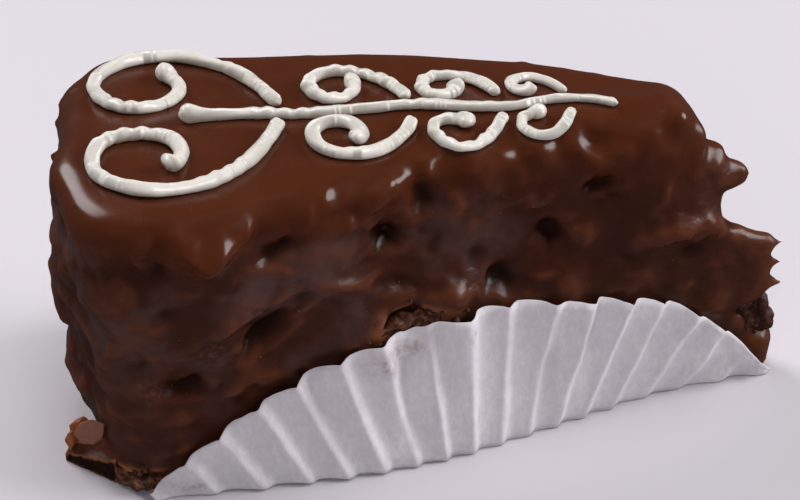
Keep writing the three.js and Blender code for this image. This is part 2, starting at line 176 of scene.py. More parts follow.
def readNormals(mesh):
    flat = np.zeros(len(mesh.vertices) * 3)
    mesh.vertex_normals.foreach_get("vector", flat)
    return flat.reshape(-1, 3)


def pushOut(mesh, rise, lowest=None):  # moves each vertex along its normal, and keeps it off the ground
    points = readPoints(mesh) + readNormals(mesh) * rise[:, None]
    if lowest is not None:
        points[:, 2] = np.maximum(points[:, 2], lowest)
    writePoints(mesh, points)


def readEdges(mesh):
    flat = np.zeros(len(mesh.edges) * 2, dtype=np.int32)
    mesh.edges.foreach_get("vertices", flat)
    return flat.reshape(-1, 2)


def averaged(values, edges, rounds, keep=0.0):  # each vertex takes its neighbours' average
    count = len(values)
    links = np.bincount(edges.ravel(), minlength=count).clip(1)
    result = values.astype(float).copy()
    columns = result.reshape(count, -1)
    for _ in range(rounds):
        total = np.zeros_like(columns)
        for column in range(columns.shape[1]):
            total[:, column] = (
                np.bincount(edges[:, 0], columns[edges[:, 1], column], count)
                + np.bincount(edges[:, 1], columns[edges[:, 0], column], count)
            )
        columns[:] = keep * columns + (1 - keep) * total / links[:, None]
    return result


def waves(points, length, shift=0.0):  # soft noise from -1 to 1, one wave about so many mm
    scaled = points / np.asarray(length) + shift
    return np.array([noise.noise(row) for row in scaled.tolist()])


def billows(points, length, shift=0.0):  # round cushions with creases between them, 0 to 1
    scaled = points / np.asarray(length) + shift
    return np.array([noise.voronoi(row)[0][0] for row in scaled.tolist()])


def writeShare(mesh, name, values):
    attribute = mesh.attributes.new(name, "FLOAT", "POINT")
    attribute.data.foreach_set("value", np.asarray(values, dtype=np.float32))


def shadeSmooth(mesh):
    mesh.polygons.foreach_set("use_smooth", [True] * len(mesh.polygons))


def finishPiece(piece, slot, material, *nodes):
    piece.data.materials.clear()
    piece.data.materials.append(material)
    shadeSmooth(piece.data)
    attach(piece, "root")
    if nodes:
        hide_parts(*nodes)


# Small tools for materials
class Recipe:  # a node material with one principled shader, built up step by step
    def __init__(self, name):
        self.material = bpy.data.materials.new(name)
        self.material.use_nodes = True
        self.nodes = self.material.node_tree.nodes
        self.links = self.material.node_tree.links
        self.shader = self.nodes["Principled BSDF"]
        self.place = self.nodes.new("ShaderNodeTexCoord").outputs["Object"]

    def set(self, **sockets):
        for name, value in sockets.items():
            self.shader.inputs[name.replace("_", " ")].default_value = value

    def link(self, source, socketName):
        self.links.new(source, self.shader.inputs[socketName])

    def attribute(self, name):
        node = self.nodes.new("ShaderNodeAttribute")
        node.attribute_name = name
        return node.outputs["Fac"]

    def noise(self, size, detail=3.0, roughness=0.55, stretch=None):  # size of one wave in mm
        node = self.nodes.new("ShaderNodeTexNoise")
        node.inputs["Scale"].default_value = 1 / (size * mm)
        node.inputs["Detail"].default_value = detail
        node.inputs["Roughness"].default_value = roughness
        place = self.place
        if stretch:
            mapping = self.nodes.new("ShaderNodeMapping")
            mapping.inputs["Scale"].default_value = stretch
            self.links.new(self.place, mapping.inputs["Vector"])
            place = mapping.outputs["Vector"]
        self.links.new(place, node.inputs["Vector"])
        return node.outputs["Fac"]

    def ramp(self, source, low, high, toLow=0.0, toHigh=1.0):
        node = self.nodes.new("ShaderNodeMapRange")
        node.interpolation_type = "SMOOTHSTEP"
        node.inputs["From Min"].default_value = low
        node.inputs["From Max"].default_value = high
        node.inputs["To Min"].default_value = toLow
        node.inputs["To Max"].default_value = toHigh
        self.links.new(source, node.inputs["Value"])
        return node.outputs["Result"]

    def math(self, kind, a, b):
        node = self.nodes.new("ShaderNodeMath")
        node.operation = kind
        node.use_clamp = kind != "SUBTRACT"
        for socket, value in zip(node.inputs, (a, b)):
            if isinstance(value, (int, float)):
                socket.default_value = value
            else:
                self.links.new(value, socket)
        return node.outputs["Value"]

    def blend(self, share, a, b):  # share: a socket; a and b: colours or sockets
        node = self.nodes.new("ShaderNodeMix")
        node.data_type = "RGBA"
        self.links.new(share, node.inputs["Factor"])
        for name, value in (("A", a), ("B", b)):
            socket = next(s for s in node.inputs if s.name == name and s.type == "RGBA")
            if isinstance(value, tuple):
                socket.default_value = (*value, 1)
            else:
                self.links.new(value, socket)
        return next(s for s in node.outputs if s.type == "RGBA")

    def bump(self, height, depth, strength=1.0, under=None):  # depth in mm
        node = self.nodes.new("ShaderNodeBump")
        node.inputs["Strength"].default_value = strength
        node.inputs["Distance"].default_value = depth * mm
        self.links.new(height, node.inputs["Height"])
        if under is not None:
            self.links.new(under, node.inputs["Normal"])
        return node.outputs["Normal"]


# Camera, lights and stage
cameraSetup = {
    "azimuth": -7.55,  # degrees
    "elevation": 33.7,
    "roll": 1.6,
    "aim": (-4.6, 3.9, 25.0),  # mm
    "distance": 267.7,
    "lens": 73.7,
}


def makeCamera():
    azimuth = math.radians(cameraSetup["azimuth"])
    elevation = math.radians(cameraSetup["elevation"])
    roll = math.radians(cameraSetup["roll"])
    right = Vector((math.cos(azimuth), math.sin(azimuth), 0))
    back = Vector((
        math.sin(azimuth) * math.cos(elevation),
        -math.cos(azimuth) * math.cos(elevation),
        math.sin(elevation),
    ))
    up = back.cross(right)
    turnedRight = math.cos(roll) * right + math.sin(roll) * up
    turnedUp = math.cos(roll) * up - math.sin(roll) * right
    data = bpy.data.cameras.new("camera")
    data.lens = cameraSetup["lens"]
    data.clip_start = 0.01
    camera = bpy.data.objects.new("camera", data)
    bpy.context.scene.collection.objects.link(camera)
    place = (Vector(cameraSetup["aim"]) + back * cameraSetup["distance"]) * mm
    turned = Matrix((turnedRight, turnedUp, back)).transposed().to_4x4()
    camera.matrix_world = Matrix.Translation(place) @ turned
    bpy.context.scene.camera = camera


lightSetup = {  # place and size in m, power in W, whether it shows in reflections
    "backLeft": {"at": (-1.0, 1.0, 1.15), "size": 1.0, "power": 20, "glossy": True},
    "rightSide": {"at": (1.5, 0.05, 0.85), "size": 1.0, "power": 24, "glossy": True},
    "overhead": {"at": (0.1, 0.1, 1.7), "size": 0.9, "power": 12, "glossy": False},
    "frontFill": {"at": (-0.7, -1.5, 1.1), "size": 1.2, "power": 7, "glossy": False},
}
stageSetup = {
    "radius": 1.5,  # m
    "middle": 0.02,  # how high the lights aim, in m
    "backdrop": (0.78, 0.76, 0.8),
    "lightColour": (1.0, 0.98, 1.0),
    "floorColour": (0.63, 0.6, 0.64),
    "sky": (0.95, 0.93, 1.0),
    "skyStrength": 0.05,
}


def makeLights():
    for name, light in lightSetup.items():
        data = bpy.data.lights.new(name, "AREA")
        data.shape = "DISK"
        data.size = light["size"]
        data.energy = light["power"]
        data.color = stageSetup["lightColour"]
        lamp = bpy.data.objects.new(name, data)
        bpy.context.scene.collection.objects.link(lamp)
        place = Vector(light["at"])
        middle = Vector((0, 0, stageSetup["middle"]))
        turned = (middle - place).to_track_quat("-Z", "Y").to_matrix().to_4x4()
        lamp.matrix_world = Matrix.Translation(place) @ turned
        lamp.visible_glossy = light["glossy"]


def makeSky():
    world = bpy.data.worlds.new("studio")
    world.use_nodes = True
    background = world.node_tree.nodes["Background"]
    background.inputs["Color"].default_value = (*stageSetup["sky"], 1)
    background.inputs["Strength"].default_value = stageSetup["skyStrength"]
    bpy.context.scene.world = world
    bpy.context.scene.view_settings.view_transform = "Standard"


def makeFloor():
    bm = bmesh.new()
    bmesh.ops.create_circle(bm, cap_ends=True, segments=64, radius=stageSetup["radius"])
    floor = objectFrom("floor", bm)
    recipe = Recipe("paleFloor")
    recipe.set(Base_Color=(*stageSetup["floorColour"], 1), Roughness=0.55)
    floor.data.materials.append(recipe.material)
    floor.visible_glossy = False


def makeBackdrop():  # half a sphere, which only closes the view and lights nothing
    bm = bmesh.new()
    bmesh.ops.create_uvsphere(bm, u_segments=48, v_segments=24, radius=stageSetup["radius"])
    bmesh.ops.bisect_plane(
        bm, geom=bm.verts[:] + bm.edges[:] + bm.faces[:], plane_co=(0, 0, 0), plane_no=(0, 0, 1),
        clear_inner=True,
    )
    backdrop = objectFrom("backdrop", bm)
    recipe = Recipe("paleBackdrop")
    recipe.set(Base_Color=(0, 0, 0, 1), Emission_Color=(*stageSetup["backdrop"], 1), Emission_Strength=1)
    backdrop.data.materials.append(recipe.material)
    shadeSmooth(backdrop.data)
    backdrop.visible_diffuse = False
    backdrop.visible_glossy = False
    backdrop.visible_shadow = False


makeCamera()
makeLights()
makeSky()
makeFloor()
makeBackdrop()
print("stage: camera, lights and floor")

# Materials: colours, and how strongly the chocolate mirrors
chocolateFinish = {
    "top": (0.07, 0.0168, 0.0058),
    "side": (0.054, 0.0142, 0.0068),
    # hollow: painted shade, a dark colour laid into the hollows
    "hollow": (0.014, 0.0036, 0.0018),
    # warm: on ridges a painted glow of light through the chocolate, low at the tip a warmer tone
    "warm": (0.124, 0.0345, 0.0128),
    # bloom: partly the chocolate's grey bloom, partly a painted sheen standing in for soft reflections on
    # the sides
    "bloomAndSheen": (0.09, 0.043, 0.036),
    "dust": (0.2, 0.076, 0.044),
    # painted glow of light through the thin coat at its edges
    "edge": (0.32, 0.11, 0.045),
    "gloss": 0.27,
}


def chocolateMaterial():
    recipe = Recipe("dippedChocolate")
    look = chocolateFinish
    patches = recipe.noise(11, 3)
    streaks = recipe.noise(4.5, 4, 0.6)
    colour = recipe.blend(recipe.attribute("top"), look["side"], look["top"])
    # patches of bloom that also carry a painted sheen
    bloomAndSheenShare = recipe.math("MULTIPLY", recipe.attribute("bloomAndSheen"), recipe.ramp(patches, 0.42, 0.66))
    colour = recipe.blend(bloomAndSheenShare, colour, look["bloomAndSheen"])
    # painted glow on ridges, and a warmer tone low at the tip
    warmNoise = recipe.ramp(streaks, 0.35, 0.7, 0.4, 1.0)
    warmShare = recipe.math("MULTIPLY", recipe.attribute("warm"), warmNoise)
    colour = recipe.blend(warmShare, colour, look["warm"])
    # painted shade in the hollows
    colour = recipe.blend(recipe.attribute("hollow"), colour, look["hollow"])
    # painted glow along thin coat edges
    colour = recipe.blend(recipe.attribute("edge"), colour, look["edge"])
    grains = recipe.ramp(recipe.noise(1.1, 4, 0.7), 0.45, 0.7, 0.05, 0.65)
    dustShare = recipe.math("MULTIPLY", recipe.attribute("dust"), grains)
    colour = recipe.blend(dustShare, colour, look["dust"])
    recipe.link(colour, "Base Color")
    rough = recipe.ramp(recipe.noise(6, 4), 0.35, 0.7, 0.29, 0.4)
    rough = recipe.math("SUBTRACT", rough, recipe.math("MULTIPLY", recipe.attribute("top"), 0.1))
    rough = recipe.math("ADD", rough, recipe.math("MULTIPLY", recipe.attribute("dust"), 0.35))
    recipe.link(rough, "Roughness")
    calm = recipe.ramp(recipe.attribute("top"), 0, 1, 1.0, 0.12)
    folds = recipe.math("MULTIPLY", recipe.noise(3.4, 3, 0.5, (0.55, 0.55, 1.5)), calm)
    relief = recipe.bump(folds, 0.5, 0.6)
    fine = recipe.math("MULTIPLY", recipe.noise(1.5, 5, 0.6), calm)
    relief = recipe.bump(fine, 0.13, 0.5, relief)
    speckle = recipe.noise(0.5, 3, 0.6)
    roughSpots = recipe.math("MULTIPLY", speckle, recipe.attribute("dust"))
    relief = recipe.bump(roughSpots, 0.35, 0.9, relief)
    recipe.link(relief, "Normal")
    recipe.set(IOR=1.48, Specular_IOR_Level=look["gloss"])
    return recipe.material


crumbFinishes = {
    "spongeCrumb": {"dark": (0.05, 0.018, 0.01), "light": (0.22, 0.085, 0.046), "roughness": 0.72},
    # lighter than the sponge crumb to make up for the shade it sits in: painted light
    "litMoistCrumb": {"dark": (0.07, 0.023, 0.012), "light": (0.29, 0.105, 0.055), "roughness": 0.45},
    "glazedCrumb": {"dark": (0.03, 0.008, 0.0045), "light": (0.13, 0.036, 0.018), "roughness": 0.28},
}


def crumbMaterial(name):
    recipe = Recipe(name)
    look = crumbFinishes[name]
    grains = recipe.noise(0.9, 5, 0.7)
    colour = recipe.blend(recipe.ramp(grains, 0.42, 0.68), look["dark"], look["light"])
    flecks = recipe.ramp(recipe.noise(0.6, 2), 0.66, 0.74, 0.0, 0.5)
    colour = recipe.blend(flecks, colour, tuple(1.3 * part for part in look["light"]))
    recipe.link(colour, "Base Color")
    recipe.set(Roughness=look["roughness"])
    relief = recipe.bump(recipe.noise(1.3, 6, 0.75), 0.6, 0.8)
    recipe.link(relief, "Normal")
    return recipe.material


# rim: a lighter colour along ridges, a painted glow
brokenFinish = {"rim": (0.3, 0.1, 0.04), "rimShare": 0.9, "gloss": 0.22, "mottle": 0.6}


def brokenMaterial(name, skin, broken):
    recipe = Recipe(name)
    # faces that do not face up get the second colour: rough broken faces, painted darker as shade
    colour = recipe.blend(recipe.attribute("broken"), skin, broken)
    # painted glow: lighter colour along ridges
    rimShare = recipe.math("MULTIPLY", recipe.attribute("rim"), brokenFinish["rimShare"])
    colour = recipe.blend(rimShare, colour, brokenFinish["rim"])
    mottle = recipe.ramp(recipe.noise(1.6, 4, 0.6), 0.35, 0.75, 0.0, 0.35)
    colour = recipe.blend(mottle, colour, tuple(brokenFinish["mottle"] * part for part in skin))
    recipe.link(colour, "Base Color")
    recipe.link(recipe.ramp(recipe.attribute("broken"), 0, 1, 0.45, 0.75), "Roughness")
    recipe.set(Specular_IOR_Level=brokenFinish["gloss"])
    relief = recipe.bump(recipe.noise(0.9, 5, 0.65), 0.3, 0.6)
    recipe.link(relief, "Normal")
    return recipe.material


icingFinish = {
    "pale": (0.84, 0.79, 0.7),
    "deep": (0.77, 0.71, 0.61),
    "scatter": (1.0, 0.75, 0.5),
    "scatterShare": 0.25,
    "scatterReach": 0.0012,  # m
}


def icingMaterial():
    recipe = Recipe("ivoryIcing")
    look = icingFinish
    tint = recipe.ramp(recipe.noise(5, 3), 0.3, 0.75)
    colour = recipe.blend(tint, look["pale"], look["deep"])
    recipe.link(colour, "Base Color")
    recipe.link(recipe.ramp(recipe.noise(3, 3), 0.3, 0.7, 0.2, 0.36), "Roughness")
    recipe.link(recipe.bump(recipe.noise(0.8, 4, 0.6), 0.07, 0.6), "Normal")
    recipe.set(
        Subsurface_Weight=look["scatterShare"], Subsurface_Radius=look["scatter"],
        Subsurface_Scale=look["scatterReach"],
    )
    return recipe.material


paperFinish = {
    "thin": (0.74, 0.705, 0.735),
    "thick": (0.84, 0.805, 0.835),
    "cloud": (0.68, 0.645, 0.68),
    "stain": (0.27, 0.17, 0.12),
    "roughness": 0.8,
    "gloss": 0.25,
}


def paperMaterial():
    recipe = Recipe("greaseproofPaper")
    look = paperFinish
    fibres = recipe.noise(0.9, 5, 0.7, (1.0, 1.0, 0.55))
    clouds = recipe.noise(5, 4, 0.6)
    colour = recipe.blend(recipe.ramp(fibres, 0.35, 0.7), look["thin"], look["thick"])
    colour = recipe.blend(recipe.ramp(clouds, 0.3, 0.7, 0.0, 0.3), colour, look["cloud"])
    blots = recipe.ramp(recipe.noise(2.4, 6, 0.7), 0.38, 0.68, 0.05, 0.8)
    stain = recipe.math("MULTIPLY", recipe.attribute("stain"), blots)
    colour = recipe.blend(stain, colour, look["stain"])
    recipe.link(colour, "Base Color")
    recipe.set(Roughness=look["roughness"], Specular_IOR_Level=look["gloss"])
    relief = recipe.bump(recipe.noise(0.45, 4, 0.7), 0.05, 0.6)
    relief = recipe.bump(recipe.noise(3.5, 4, 0.6), 0.35, 0.5, relief)
    recipe.link(relief, "Normal")
    return recipe.material


chocolate = chocolateMaterial()
crumb = crumbMaterial("spongeCrumb")
litMoistCrumb = crumbMaterial("litMoistCrumb")
glazedCrumb = crumbMaterial("glazedCrumb")
icing = icingMaterial()
whitePaper = paperMaterial()
print("materials: chocolate, crumb, icing, paper")

# Sponge, also the room for it in the coat
spongeShape = {"voxel": 0.65, "grow": -0.2, "smoothing": 6, "roughness": 0.3, "foot": 0.6}
# Where the crumb stands proud in a hole of the coat: place, reach, rise
spongeSwells = [((-65.4, -15.6, 24.2), 4.8, 2.1), ((-4.6, -1.2, 13.6), 4.0, 1.0)]


def spongeForm(name, voxel, grow):
    piece = remeshed(objectFrom(name, mergedCopy("sponge", grow)), voxel, spongeShape["smoothing"])
    points = readPoints(piece.data)
    swell = np.zeros(len(points))
    for place, reach, lift in spongeSwells:
        swell += lift * bell(np.linalg.norm(points - np.array(place), axis=1), reach)
    pushOut(piece.data, swell)
    return piece


def makeSponge():
    piece = spongeForm("spongeCore", spongeShape["voxel"], spongeShape["grow"])
    points = readPoints(piece.data)
    rough = spongeShape["roughness"] * (waves(points, 2.3, 7.0) + 0.9 * waves(points, 1.2, 17.0))
    pushOut(piece.data, rough, spongeShape["foot"])
    return piece


# Chocolate coat
coatShape = {
    "voxel": 0.56,
    "smoothing": 30,
    "tipSmoothing": 6,
    "tipStart": 24,  # nearer to the apex than this the coat is smoothed less
    "tipBlend": 12,
    "keep": 0.4,  # what a vertex keeps of its own place in one round of smoothing
    "fill": 0.35,  # the sponge is grown by this to close the coat from inside
    "foot": 0.7,
    "cavityVoxel": 1.0,
    "cavityGrow": 0.1,
}
# Blobs and teeth added at the tip, and two at the low near corner: from, to, their two radii
tipTeeth = [
    ((-17, -0.4, 40.4), (-12.2, -0.2, 38.9), 3.9, 3.1),
    ((-12.0, -0.2, 39.0), (-10.9, -0.3, 38.9), 2.8, 2.6),
    ((-15.0, -0.2, 40.4), (-14.0, -0.4, 42.4), 2.2, 1.2),
    ((-12.6, -1.2, 39.6), (-12.2, -1.6, 40.4), 1.4, 1.0),
    ((-112.6, -18.0, 4.2), (-108.6, -22.8, 3.3), 1.5, 1.7),
    ((-108.6, -22.8, 3.3), (-101.0, -21.8, 3.6), 1.7, 1.9),
    ((-16, -1.2, 35.5), (-14.4, -0.8, 33.5), 3.0, 2.0),
    ((-14.5, -0.4, 28.2), (-9.8, -0.4, 27.2), 3.6, 2.6),
    ((-9.8, -0.3, 26.4), (-4.2, -0.2, 25.2), 3.0, 1.7),
    ((-4.6, -0.2, 25.1), (-0.5, -0.1, 25.2), 1.6, 0.3),
    ((-5.0, -0.6, 21.6), (-0.6, -0.3, 21.3), 2.2, 0.35),
    ((-6.0, -0.6, 18.4), (-0.3, -0.4, 17.2), 2.6, 0.4),
    ((-8.5, -0.6, 15.5), (-4.2, -0.8, 15.4), 2.6, 1.4),
    ((-5.5, 0.6, 6.2), (-2.9, 0.2, 5.6), 4.0, 3.2),
    ((-4.0, -1.2, 3.0), (-2.2, -1.0, 2.6), 2.4, 2.2),
]
tipTrims = [(15, 27.5, -2.6), (34, 47, -13.0)]  # the plain solid is held back: from, to, up to where
# Lumps and hollows of the near side: along, height, reach along, reach up, slant in degrees, rise
nearRelief = [
    (100, 46.2, 3.0, 1.5, 8, 1.2), (99, 43.2, 2.4, 2.2, 0, 0.5), (106, 45.3, 1.7, 2.2, 0, -1.7),
    (111, 44, 5.0, 2.4, 25, -1.3), (89, 44, 2.6, 1.7, -20, -1.2), (92, 46.8, 2.0, 1.5, 0, -0.8),
    (64.5, 46, 2.9, 2.3, 15, -2.2), (36, 51, 3.4, 1.7, 10, -1.2), (53.5, 49, 2.2, 1.5, 0, 0.9),
    (84, 41, 5.0, 3.0, 0, 0.5), (79, 35, 4.6, 1.1, 12, 0.9), (77, 37.4, 5.0, 0.9, 8, -0.7),
    (71, 40, 2.3, 1.9, -15, -2.6), (44, 35, 2.4, 1.9, -10, -2.6), (36, 43.5, 2.3, 1.7, 0, -2.1),
    (90, 28, 3.9, 1.9, -36, -3.0), (103, 20, 2.3, 1.7, 0, -2.4), (110, 25, 2.5, 2.7, 0, -2.2),
    (115, 30, 2.0, 3.0, 0, -1.2), (97.6, 20.2, 0.45, 0.45, 0, -0.9), (52, 28, 3.2, 2.0, 8, -1.8),
    (61, 27, 3.2, 3.0, 0, 1.7), (41, 25.5, 3.0, 2.5, 0, 1.1), (24, 33.5, 5.0, 2.6, -14, 2.2),
    (16, 32, 4.0, 2.8, 8, 2.2), (73, 26, 1.9, 2.0, 0, 1.0), (96, 32, 2.2, 2.2, 0, 0.8),
    (94, 26.5, 3.6, 1.2, -20, 0.7), (67.5, 31, 3.6, 1.1, 12, -1.0), (81, 30.5, 3.0, 1.9, 0, -0.9),
    (85, 33.5, 3.0, 1.4, 0, -0.6), (100, 38, 6.0, 1.2, 16, 0.45), (58, 39, 4.0, 2.0, -15, 0.6),
    (56, 34, 2.6, 1.6, 20, -0.8), (48, 42, 4.0, 1.6, 10, 0.6), (31, 38, 3.0, 1.7, -12, -0.9),
    (30, 29, 2.4, 1.6, 0, -0.9), (20, 26, 2.6, 2.0, 0, 0.6), (14, 24, 2.0, 1.6, 0, -0.7),
    (49, 21, 2.4, 1.5, 0, 0.7), (33, 20, 2.6, 1.8, 0, 0.6), (105, 33, 3.4, 2.0, 20, 0.5),
    (112, 37, 3.4, 2.2, 0, 0.7), (107, 14, 3.0, 1.8, 0, 0.5), (96, 15.5, 2.6, 1.0, -10, -0.6),
    (84, 18, 1.2, 0.8, 0, -0.8), (76, 20.5, 0.7, 0.7, 0, -0.9), (88, 46, 2.4, 1.2, 0, 0.5),
    (78, 46.5, 3.2, 1.4, 6, -0.7), (70, 48.5, 3.0, 1.4, 10, 0.6), (46, 47.5, 2.4, 1.4, 0, -0.7),
]
# Small relief strewn over every side, and bumps just below the top: ranges to draw from
smallRelief = {
    "seed": 31, "count": 110, "along": (14, 118), "height": (9, 49), "reach": (0.9, 2.4),
    "squash": (0.6, 1.1), "rise": (0.25, 0.75), "domeShare": 0.6, "slant": (-40, 40),
    "rimMiddle": 66, "rimShare": 0.45,  # how a place along a side becomes one across the rim end
}
upperBumps = {
    "count": 26, "along": (16, 112), "height": (45, 49.5), "reach": (1.2, 2.3), "rise": (0.35, 0.85),
}
# Bumps near the top's edge: along, up, reach, rise
edgeBumps = [
    (34.5, 53, 1.8, 0.9), (40, 53.4, 1.6, 0.8), (23.5, 52, 2.5, 1.9), (86, 53, 2.2, 0.5),
    (14, 50.5, 2.4, 1.7), (19, 48.5, 1.8, 0.9), (28.5, 50, 2.2, 1.1), (46, 49.5, 2.0, 0.9),
    (51, 48.5, 1.8, 0.8), (57, 49, 2.0, 0.7), (32, 47.5, 1.7, 0.8), (25, 47, 1.7, 0.9), (37, 47, 1.8, 0.8),
]
# The far side repeats the near one, moved along and up, and wrapped round at its ends
farRelief = {"move": 61, "span": 98, "start": 12, "raise": 17, "tall": 37, "low": 11}
# The rim end has its own: across, height, reach across, reach up, rise
rimRelief = [
    (-14, 43, 2.0, 3.5, -1.4), (-17, 33, 2.2, 3.0, -1.5), (-8, 38, 2.6, 2.2, 0.9),
    (-2, 45, 3.0, 2.0, -1.2), (5, 36, 2.4, 3.0, -1.6), (11, 46, 2.2, 1.8, 0.8),
    (13, 27, 3.0, 2.2, -1.4), (-6, 24, 3.0, 2.0, 1.0), (-15, 21, 2.0, 2.6, -1.3),
    (3, 17, 2.8, 1.8, -1.2), (9, 11, 2.0, 2.0, 0.8), (-10, 12, 2.4, 1.8, 0.8),
    (17, 38, 2.0, 2.6, -1.2),
]
# Dusty rough spots on the near side: along, height, reach along, reach up
dustySpots = [(98.5, 26.6, 2.4, 3.6), (108, 19.4, 2.8, 2.2), (90, 33, 2.6, 1.6), (67, 25, 8, 2.6)]
# a painted glow is laid along the thin edge here and around the bare patch
cornerEdge = {"at": (-109.5, -21.5), "reach": 7.5, "height": 3.4}  # where the coat's low edge is thin
barePatch = {"at": (-65.2, -15.4, 24.3), "reach": (8.0, 4.0, 2.8)}  # where the coat is open


def domeOrPit(across, up, reachAcross, reachUp, slant, rise):
    turn = math.radians(slant)
    a = (across * math.cos(turn) + up * math.sin(turn)) / reachAcross
    b = (up * math.cos(turn) - across * math.sin(turn)) / reachUp
    square = a * a + b * b
    if rise > 0:
        return rise * np.exp(-square)
    lip = -0.12 * rise * np.exp(-((np.sqrt(square) - 1.6) / 0.6) ** 2) * (b < 0)
    return 0.72 * rise / (1 + square ** 1.7) + lip


def coatSides(points, normals):  # how squarely each vertex faces a side, and where along it
    warp = 1.7 * waves(points, 6.5, 81.0) + 0.8 * waves(points, 2.7, 84.0)
    facesRim = smooth(0.25, 0.7, -normals[:, 0]) * smooth(-95, -104, points[:, 0])
    return {
        near: (smooth(0.15, 0.6, -normals[:, 1]), alongSide(near, points) + warp),
        far: (smooth(0.15, 0.6, normals[:, 1]), alongSide(far, points) + warp),
        rim: (facesRim, points[:, 1] + warp),
    }


def placedRelief(sides, level):  # the lumps and hollows listed above
    rise = np.zeros(len(level))
    for along, height, reachAlong, reachUp, slant, lift in nearRelief:
        farAlong = farRelief["start"] + (along + farRelief["move"]) % farRelief["span"]
        farHeight = farRelief["low"] + (height + farRelief["raise"]) % farRelief["tall"]
        for side, at, up, turn in ((near, along, height, slant), (far, farAlong, farHeight, -slant)):
            faces, run = sides[side]
            rise += faces * domeOrPit(run - at, level - up, reachAlong, reachUp, turn, lift)
    faces, run = sides[rim]
    for across, height, reachAcross, reachUp, lift in rimRelief:
        rise += faces * domeOrPit(run - across, level - height, reachAcross, reachUp, 0, lift)
    return rise


def strewnRelief(sides, level):
    rise = np.zeros(len(level))
    strewn = smallRelief
    draw = random.Random(strewn["seed"])
    for _ in range(strewn["count"]):
        at = draw.uniform(*strewn["along"])
        height = draw.uniform(*strewn["height"])
        reach = draw.uniform(*strewn["reach"])
        tall = reach * draw.uniform(*strewn["squash"])
        lift = draw.uniform(*strewn["rise"]) * (1 if draw.random() < strewn["domeShare"] else -1)
        slant = draw.uniform(*strewn["slant"])
        for side, (faces, run) in sides.items():
            middle = (at - strewn["rimMiddle"]) * strewn["rimShare"] if side == rim else at
            rise += faces * domeOrPit(run - middle, level - height, reach, tall, slant, lift)
    for _ in range(upperBumps["count"]):
        at = draw.uniform(*upperBumps["along"])
        height = draw.uniform(*upperBumps["height"])
        reach = draw.uniform(*upperBumps["reach"])
        lift = draw.uniform(*upperBumps["rise"])
        for side in (near, far):
            faces, run = sides[side]
            rise += faces * domeOrPit(run - at, level - height, reach, reach, 0, lift)
    return rise


def edgeRelief(points):
    rise = np.zeros(len(points))
    for along, height, reach, lift in edgeBumps:
        spot = np.array(onSide(near, along, height, float(sideFlare(near, along, height)) - 2))
        rise += lift * bell(np.linalg.norm(points - spot, axis=1), reach)
    return rise


def skinRelief(points, top):  # waves and cushions on the sides, slow waves on the top
    calm = 1 - top
    flat = points * np.array([0.8, 0.8, 1.0])
    rise = calm * 0.95 * waves(flat, 9, 3.7)
    rise += calm * 0.6 * waves(flat, 4.8, 11.2)
    rise += calm * 0.16 * waves(points, 2.2, 21.8)
    rise += calm * 0.4 * (0.45 - billows(flat, 6, 5.3))
    rise += calm * 0.35 * smooth(20, 6, points[:, 2]) * waves(points, 2.6, 31.0)
    rise += top * 0.28 * waves(points, 17, 41.0)
    rise += top * smooth(-34, -10, points[:, 0]) * 0.5 * waves(points, 4.6, 43.0)
    return rise


def coatRelief(points, normals):
    x, _, z = points.T
    # The smooth top runs over the edge down to here
    border = 45.2 + 1.8 * waves(points * np.array([1, 1, 0]), 12, 91.0) - 2.5 * smooth(-60, -30, x)
    top = smooth(border - 0.8, border + 1.8, z)
    topColour = smooth(border - 3.5, border + 2.5, z)
    sides = coatSides(points, normals)
    level = z + 1.5 * waves(points, 5.5, 87.0) + 0.7 * waves(points, 2.5, 89.0)
    rise = placedRelief(sides, level) + strewnRelief(sides, level)
    rise += edgeRelief(points) + skinRelief(points, top)
    return rise, topColour


def addTooth(bm, start, end, startRadius, endRadius):  # a cone with a ball at each end
    start, end = toWorld(start), toWorld(end)
    axis = end - start
    turned = axis.to_track_quat("Z", "Y").to_matrix().to_4x4()
    for place, radius in ((start, startRadius), (end, endRadius)):
        bmesh.ops.create_icosphere(
            bm, subdivisions=3, radius=radius * mm, matrix=Matrix.Translation(place)
        )
    bmesh.ops.create_cone(
        bm, cap_ends=True, segments=20, radius1=startRadius * mm, radius2=endRadius * mm,
        depth=axis.length, matrix=Matrix.Translation((start + end) / 2) @ turned,
    )


